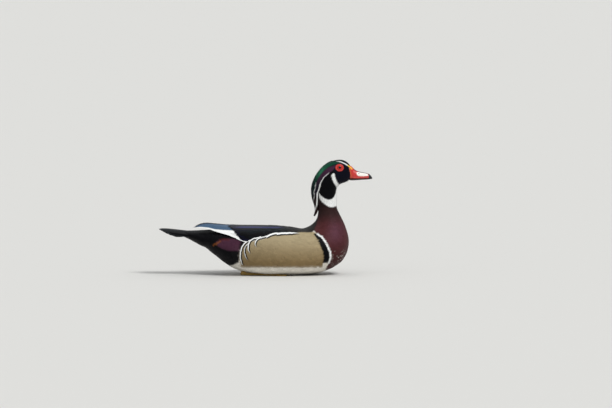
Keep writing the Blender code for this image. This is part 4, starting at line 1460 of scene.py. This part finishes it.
def lid_ring(side, word, material):
    """The bare red ring: it rises from the feathers and turns in to the eyeball."""
    axis, up, across = side_axes(side)
    centre = np.array([side * EYE.x, EYE.y, EYE.z])
    target = grid_target(body)
    angles = round_angles(72)
    # distance from the axis, height over the head (None: over the eyeball), in millimetres
    profile = ((7.0, -1.4), (6.8, -0.4), (6.55, 0.05), (6.2, 0.25), (5.9, 0.3), (5.65, 0.25),
               (5.4, 0.12), (5.2, None), (5.0, None), (4.9, None))
    eyeball_gap = {5.2: 0.3, 5.0: 0.1, 4.9: -0.35}
    heights = []
    for angle in angles:
        out = up * math.cos(angle) + across * math.sin(angle)
        origin = centre + out * 6.7 * (1 + (LID_STRETCH - 1) * math.sin(angle)**2) + axis * 14
        hit = target.ray_cast(Vector(origin), Vector(-axis))
        heights.append(float((np.array(hit[0]) - centre) @ axis))
    heights = np.array(heights)
    for _ in range(6):
        heights = (np.roll(heights, 1) + 2 * heights + np.roll(heights, -1)) / 4
    out = up * np.cos(angles)[:, None] + across * np.sin(angles)[:, None]
    rings = []
    for r, rise in profile:
        if rise is None:
            level = np.full(len(angles), math.sqrt(EYE_RADIUS**2 - r**2) + eyeball_gap[r])
            if r > 5:
                level = np.maximum(level, np.minimum(heights + 0.3, level + 0.8))
        else:
            share = np.clip((r - 5.2) / 1.6, 0, 1)
            ball = math.sqrt(max(EYE_RADIUS**2 - min(r, 5.4)**2, 0)) + 0.35
            level = share * heights + (1 - share) * np.maximum(heights, ball) + rise
        stretch = 1 + (LID_STRETCH - 1) * np.clip((r - 5.2) / 0.9, 0, 1) * np.sin(angles) ** 2
        rings.append(centre + out * (r * stretch)[:, None] + axis * level[:, None])
    rings += [centre + out * r + axis * (heights.min() - 3.2) for r in (5.6, 7.4)]
    grid = np.array(rings)
    rows, columns = grid.shape[:2]
    i, j = np.meshgrid(np.arange(rows), np.arange(columns), indexing="ij")
    uv = np.stack([j / columns, (i + 0.5) / rows], -1).reshape(-1, 2)
    turn_faces_out(mesh_piece(f"lid_{word}", grid.reshape(-1, 3),
                              (grid_faces(rows, columns, along=True),), material, None,
                              {"OFBake": uv}))


def bare_skin_material(name, codes, roughness):
    """Living skin: fine wrinkles about 0.6 mm apart, with painted shade darkening their creases."""
    made, tree, shader = new_material(name)
    place = add_node(tree, "ShaderNodeTexCoord")
    wrinkles = add_node(tree, "ShaderNodeTexNoise",
                        {"Vector": place.outputs["Object"], "Scale": 1600.0, "Detail": 2.0})
    creased(tree, shader, wrinkles.outputs["Fac"], codes, 0.5, 0.00015)
    set_inputs(shader, {"Roughness": roughness})
    return made


# ---- bill
UPPER_BILL = (
    (-143.4, 193.8, 169.6, 7.0, 0.12),
    (-147.6, 192.6, 169.2, 7.8, 0.12),
    (-151.9, 190.2, 168.9, 8.2, 0.12),
    (-156.0, 186.2, 168.7, 8.1, 0.12),
    (-161.0, 182.6, 168.6, 7.6, 0.14),
    (-168.0, 180.4, 168.6, 7.1, 0.18),
    (-176.0, 179.0, 168.8, 7.0, 0.22),
    (-182.0, 177.0, 168.9, 6.6, 0.30),
    (-185.2, 174.4, 168.5, 5.2, 0.35),
    (-187.4, 171.6, 167.9, 3.0, 0.45),
    (-188.3, 169.8, 167.9, 1.0, 0.50),
)
LOWER_BILL = (
    (-147.0, 169.2, 166.4, 5.4, 0.70),
    (-151.9, 169.0, 165.4, 6.4, 0.70),
    (-160.0, 168.9, 165.8, 6.2, 0.70),
    (-170.0, 168.9, 166.5, 5.9, 0.70),
    (-179.0, 169.0, 167.0, 5.4, 0.70),
    (-184.4, 168.9, 167.5, 3.4, 0.60),
    (-186.8, 168.7, 168.1, 1.0, 0.60),
)
BILL_RED, BILL_PINK = linear("#c4302b"), linear("#cf5a55")
BILL_WHITE, BILL_BLACK, BILL_GREY = linear("#f3eee6"), linear("#0e0b0c"), linear("#231c20")
BILL_YELLOW, BILL_ORANGE, BILL_BROWN = linear("#f2b92e"), linear("#e0782c"), linear("#4a1b18")
BASE_FRONT, LAST_READING = -156.0, -146.5    # y: the moulded base, the head's side under it
SIDE_PATCH = ((-160.8, 179.6), (-165.0, 180.6), (-170.0, 180.0), (-176.0, 178.6),
              (-180.4, 176.6), (-181.2, 173.4), (-172.0, 172.6), (-165.0, 173.0),
              (-161.4, 174.6))


def bill_paint(points):
    p = side_view(points)
    y, z = p[:, 0], points[:, 2]
    x = np.abs(points[:, 0])
    wobble = 0.35 * np.sin(y * 1.7) * np.sin(z * 1.3 + 1)
    tones = Tones(p, BILL_RED, 1.0)
    low = np.clip((174 - z) / 4, 0, 1)
    tones.paint(0.5 * low, BILL_PINK, 1)
    ridge = np.interp(-y, [-row[0] for row in UPPER_BILL], [row[1] for row in UPPER_BILL])
    tones.paint(soft(area_distance(p, SIDE_PATCH) + wobble, 0.9), BILL_WHITE, 1)
    culmen = soft(ridge - z - 1.5 + wobble, 0.8) * soft(y + 156.0 + wobble, 2.0) * soft(x - 3.6, 1)
    tones.paint(culmen, BILL_GREY, 1)
    nail = soft(y + 181.0 + 0.25 * np.clip(x - 2, 0, 4) + wobble, 0.6)
    tones.paint(nail, BILL_BLACK, 1)
    tones.paint(soft(z - 168.95, 0.3), BILL_GREY, 1)
    orange = stroke(p, LOBE_REAR, 0.6, 0.9) * (y > -154)
    tones.paint(0.7 * orange, BILL_ORANGE, 1)
    tones.paint(stroke(p, YELLOW_LINE, 1.1, 0.8), BILL_YELLOW, 1)
    # painted shade: the nostril's opening is a black spot, where the mesh only dents in
    nostril = np.hypot((y + 164.6) / 1.7, (p[:, 1] - 177.6 + 0.1 * (y + 164)) / 0.5)
    tones.paint(soft(nostril - 0.9, 0.4) * (x > 3), BILL_BLACK, 1)
    return tones.rows()


def bill_material():
    """Horn with a waxy polish: faint mottling 1.4 mm across, and a soft even highlight."""
    made, tree, shader = new_material("horn_waxed")
    pigment = add_node(tree, "ShaderNodeVertexColor", layer_name="plumage")
    place = add_node(tree, "ShaderNodeTexCoord")
    mottle = add_node(tree, "ShaderNodeTexNoise",
                      {"Vector": place.outputs["Object"], "Scale": 700.0, "Detail": 3.0})
    grained(tree, shader, pigment.outputs["Color"], mottle.outputs["Fac"], (0.86, 1.06), 0.25,
            0.0002)
    set_inputs(shader, {"Roughness": 0.38})
    return made


def moulded_base(ring, half, head_side):
    """Fits the bill's rear to the sides of the head: bare ahead of the feathers' edge, and
    sunk behind it."""
    y = ring[0, 1]
    own = np.clip((-151.6 - y) / 4.0, 0, 1)          # how far the bill has its own shape
    edge = np.array(LOBE_REAR)[::-1]
    for point in ring:
        side, x = np.sign(point[0]), abs(point[0])
        reading = Vector((side * 40, max(y, LAST_READING), point[2]))
        hit = head_side.ray_cast(reading, Vector((-side, 0, 0)))[0]
        if hit is None or x < 0.2:
            continue
        ahead = np.interp(point[2] - CAMERA_RISE * x, edge[:, 1], edge[:, 0]) - y
        fitted = abs(hit.x) - 0.6 * max(0.0, LAST_READING - y)
        fitted += np.interp(ahead, (-2.0, -0.4, 0.6), (-1.4, -0.5, 0.4))
        beside = np.clip((x - 0.45 * half) / (0.35 * half), 0, 1) * (1 - own)
        point[0] = side * (x + (fitted - x) * beside)
    return ring


def bill(material):
    angles = round_angles(112)
    head_side = grid_target(body)
    for name, table, node in (("beak_upper", UPPER_BILL, "bill_upper"),
                              ("beak_lower", LOWER_BILL, "bill_lower")):
        fine = curve_through(table, np.linspace(0, len(table) - 1, 140))
        rings = []
        for y, top, bottom, half, widest in fine:
            ring = section((y, top), (y, bottom), half, widest, 2.3, angles)
            if name == "beak_upper":
                flank_side = np.abs(ring[:, 0]) > 0.35 * half
                hole = np.hypot((ring[:, 1] + 164.6) / 2.4, (ring[:, 2] - 178.0) / 0.9)
                pinch = np.where(flank_side, 0.45 * np.clip(1.25 - hole, 0, 1), 0)
                ring[:, 0] -= np.sign(ring[:, 0]) * pinch
                nail = np.clip((-181.2 - y) / 0.8, 0, 1) * (ring[:, 2] > bottom + 1)
                ring[:, 2] += 0.35 * nail * np.clip(1 - np.abs(ring[:, 0]) / 4, 0, 1)
                lip = np.exp(-((ring[:, 2] - bottom - 0.9) / 0.7) ** 2)
                ring[:, 0] += np.sign(ring[:, 0]) * 0.25 * lip
                if y > BASE_FRONT:
                    ring = moulded_base(ring, half, head_side)
            rings.append(ring)
        painter = bill_paint if name == "beak_upper" else lower_bill_paint
        obj = tube(name, rings, material, painter)
        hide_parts(node)


def lower_bill_paint(points):
    tones = Tones(points, BILL_BLACK, 1.0)
    base = np.clip((points[:, 1] + 160) / 6, 0, 1) * 0.5
    tones.paint(base, BILL_BROWN, 1.0)
    return tones.rows()


# ---- legs and feet
def scaly_material(name, codes, scale, roughness):
    """Scutes: cells of horny skin about 1 mm across, with darker joints between them."""
    made, tree, shader = new_material(name)
    place = add_node(tree, "ShaderNodeTexCoord")
    cells = add_node(tree, "ShaderNodeTexVoronoi",
                     {"Vector": place.outputs["Object"], "Scale": scale},
                     feature="DISTANCE_TO_EDGE")
    joint = add_node(tree, "ShaderNodeMapRange",
                     {0: cells.outputs["Distance"], 1: 0.0, 2: 0.16, 3: 0.0, 4: 1.0})
    creased(tree, shader, joint.outputs[0], codes, 0.4, 0.0002)
    set_inputs(shader, {"Roughness": roughness})
    return made


def limb(name, path, radii, material, node=None):
    """A tapering tube along a path that lies on the floor, flat where it touches it."""
    path, radii = np.array(path, float), np.array(radii, float)
    angles = round_angles(28)
    heading = unit(np.gradient(path, axis=0))
    side = unit(np.cross(heading, [0, 0, 1.0]))
    up = np.cross(side, heading)
    rings = (path[:, None] + side[:, None] * (np.sin(angles)[None, :, None] * radii[:, None, None])
             + up[:, None] * (np.cos(angles)[None, :, None] * radii[:, None, None]))
    rings[:, :, 2] = np.maximum(rings[:, :, 2], 0.04)
    ends = [path[0] - heading[0] * 0.3 * radii[0], path[-1] + heading[-1] * 0.3 * radii[-1]]
    obj = tube(name, rings, material, no_colours, ends)
    if node:
        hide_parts(node)


def no_colours(points):
    return np.ones((len(points), 4))


# The toes' joint and the heel of the left foot; each toe's bearing off straight ahead and length
ANKLE, HEEL = np.array([37.0, 3.0]), np.array([32.0, 38.0])
TOES = (("inner", -13.0, 37.0), ("middle", 3.0, 46.0), ("outer", 19.0, 43.0))


def web(name, first, second, side, material):
    """The thin skin between two toes, with a hollow front edge and a slight sag."""
    rings = []
    for t in np.linspace(0.1, 1.0, 26):
        s = np.linspace(0, 1, 11)
        bearing = np.radians(first[1] + (second[1] - first[1]) * s)
        reach = (first[2] + (second[2] - first[2]) * s) * (0.93 - 0.17 * np.sin(math.pi * s)) * t
        x = side * (ANKLE[0] + np.sin(bearing) * reach)
        y = ANKLE[1] - np.cos(bearing) * reach
        sag = 1.6 - 0.5 * np.sin(math.pi * s) - 0.3 * t
        top = np.stack([x, y, sag], 1)
        sole = np.stack([x, y, sag - 0.7], 1)[::-1]
        rings.append(np.concatenate([top, sole]))
    tube(name, rings, material, no_colours)


def feet():
    """Tarsi laid along the floor, three toes with webs between them, hind toes and claws."""
    scutes = scaly_material("scutes_weathered", ("#a5853f", "#83662f"), 1100.0, 0.6)
    webs = bare_skin_material("web_skin_dry", ("#4a3c28", "#2e261b"), 0.65)
    horn = scaly_material("claw_horn_worn", ("#1c1714", "#0b0908"), 1500.0, 0.4)
    for side, word in SIDES:
        flip = np.array([side, 1, 1])
        t = np.linspace(-0.03, 1.12, 40)
        knob = np.exp(-((t - 1.0) / 0.09) ** 2) + 0.5 * np.exp(-(t / 0.1) ** 2)
        radii = (2.6 + 1.5 * knob) * np.clip((1.14 - t) / 0.06, 0.3, 1)
        line = ANKLE + (HEEL - ANKLE) * t[:, None]
        limb(f"tarsus_{word}", np.column_stack([line, radii * 1.05]) * flip, radii, scutes,
             f"leg_{word}")
        for toe in TOES:
            t = np.linspace(0, 1, 44)
            bearing = math.radians(toe[1])
            ahead = np.array([math.sin(bearing), -math.cos(bearing)])
            joints = sum(np.exp(-((t - k) / 0.05) ** 2) for k in (0.36, 0.64, 0.86))
            radii = 2.1 - 0.95 * t + 0.3 * joints
            line = ANKLE + ahead * (toe[2] * t)[:, None]
            limb(f"toe_{toe[0]}_{word}", np.column_stack([line, radii * 0.95]) * flip, radii,
                 scutes, f"foot_{word}" if toe[0] == "middle" else None)
            tip = np.linspace(0, 1, 16)
            claw = ANKLE + ahead * (toe[2] + 0.2 + 5.6 * tip)[:, None]
            height = 1.1 + 0.5 * np.sin(math.pi * tip) - 0.8 * tip
            limb(f"nail_{toe[0]}_{word}", np.column_stack([claw, height]) * flip,
                 1.05 - 0.85 * tip**1.3, horn, f"claw_{toe[0]}_{word}")
        for first, second in zip(TOES, TOES[1:]):
            web(f"web_{first[0]}_{word}", first, second, side, webs)
        t = np.linspace(0, 1, 20)[:, None]
        line = np.array([32.6, 4.0, 2.0]) + np.array([-8.8, 3.0, -1.2]) * t
        limb(f"hallux_{word}", line * flip, 1.6 - 0.9 * t[:, 0], scutes,
             f"hind_toe_{word}")


velvet = plumage_material("feather_barbs_velvety", 0.6, 0.36, 0.0002)
preened = plumage_material("feather_barbs_preened", 0.6, 0.34, 0.0003)
quill = plumage_material("feather_vane_stiff", 0.55, 0.26, 0.0003)
waved = waved_material()
down = skin_material()
skin(down)
contour_feathers(preened, velvet, waved)
rimmed_feathers(waved)
wings(quill, preened)
tail(quill, preened)
crest(velvet, down)
cornea = eye_material()
lids = bare_skin_material("eyelid_skin_soft", ("#c82218", "#9c170e"), 0.5)
for side, word in SIDES:
    eyeball(side, word, cornea)
    lid_ring(side, word, lids)
bill(bill_material())
feet()


# ---------------------------------------------------------------- floor, light and camera
FLOOR_SIZE = 120             # metres, so that the floor's edge is far off


def studio():
    """A plain pale floor under soft light from three sides."""
    made, _, shader = new_material("studio_paper_matte")
    set_inputs(shader, {"Base Color": rgba("#d9d8d4"), "Roughness": 0.9})
    nothing_selected()
    bpy.ops.mesh.primitive_plane_add(size=FLOOR_SIZE, location=(0, 0, 0))
    floor = bpy.context.object
    floor.name = "studio_floor"
    floor.data.materials.append(made)
    for name, place, spread, power in (
        ("key", (-0.9, -0.8, 1.5), 26, 2.1),
        ("fill", (-1.2, 1.0, 0.9), 80, 0.45),
        ("far_side", (1.0, -0.3, 1.3), 80, 0.55),
    ):
        light = bpy.data.lights.new(name, "SUN")
        light.angle = math.radians(spread)
        light.energy = power
        holder = bpy.data.objects.new(name, light)
        holder.rotation_euler = (-Vector(place)).to_track_quat("-Z", "Y").to_euler()
        bpy.context.scene.collection.objects.link(holder)
    world = bpy.data.worlds.new("studio")
    bpy.context.scene.world = world
    world.use_nodes = True
    tree = world.node_tree
    background = tree.nodes["Background"]
    set_inputs(background, {"Color": rgba("#e8ebee"), "Strength": 0.42})
    # past the floor's edge the picture shows the floor's own pale tone
    beyond = add_node(tree, "ShaderNodeBackground", {"Color": rgba("#e0e1dd")})
    rays = add_node(tree, "ShaderNodeLightPath")
    both = add_node(tree, "ShaderNodeMixShader", {0: rays.outputs["Is Camera Ray"],
                                                  1: background.outputs[0], 2: beyond.outputs[0]})
    set_inputs(tree.nodes["World Output"], {"Surface": both.outputs[0]})
    bpy.context.scene.view_settings.view_transform = "Standard"


CAMERA_AIM = Vector((0.0, -0.0718, 0.1238))
CAMERA_DISTANCE = 12.0
LENS, SENSOR = 401.0, 36.0


def camera():
    data = bpy.data.cameras.new("camera")
    data.lens = LENS
    data.sensor_width = SENSOR
    data.clip_end = 100
    holder = bpy.data.objects.new("camera", data)
    rise = math.atan(CAMERA_RISE)
    back = Vector((-math.cos(rise), 0, math.sin(rise)))
    holder.location = CAMERA_AIM + back * CAMERA_DISTANCE
    holder.rotation_euler = (-back).to_track_quat("-Z", "Y").to_euler()
    bpy.context.scene.collection.objects.link(holder)
    bpy.context.scene.camera = holder


studio()
camera()
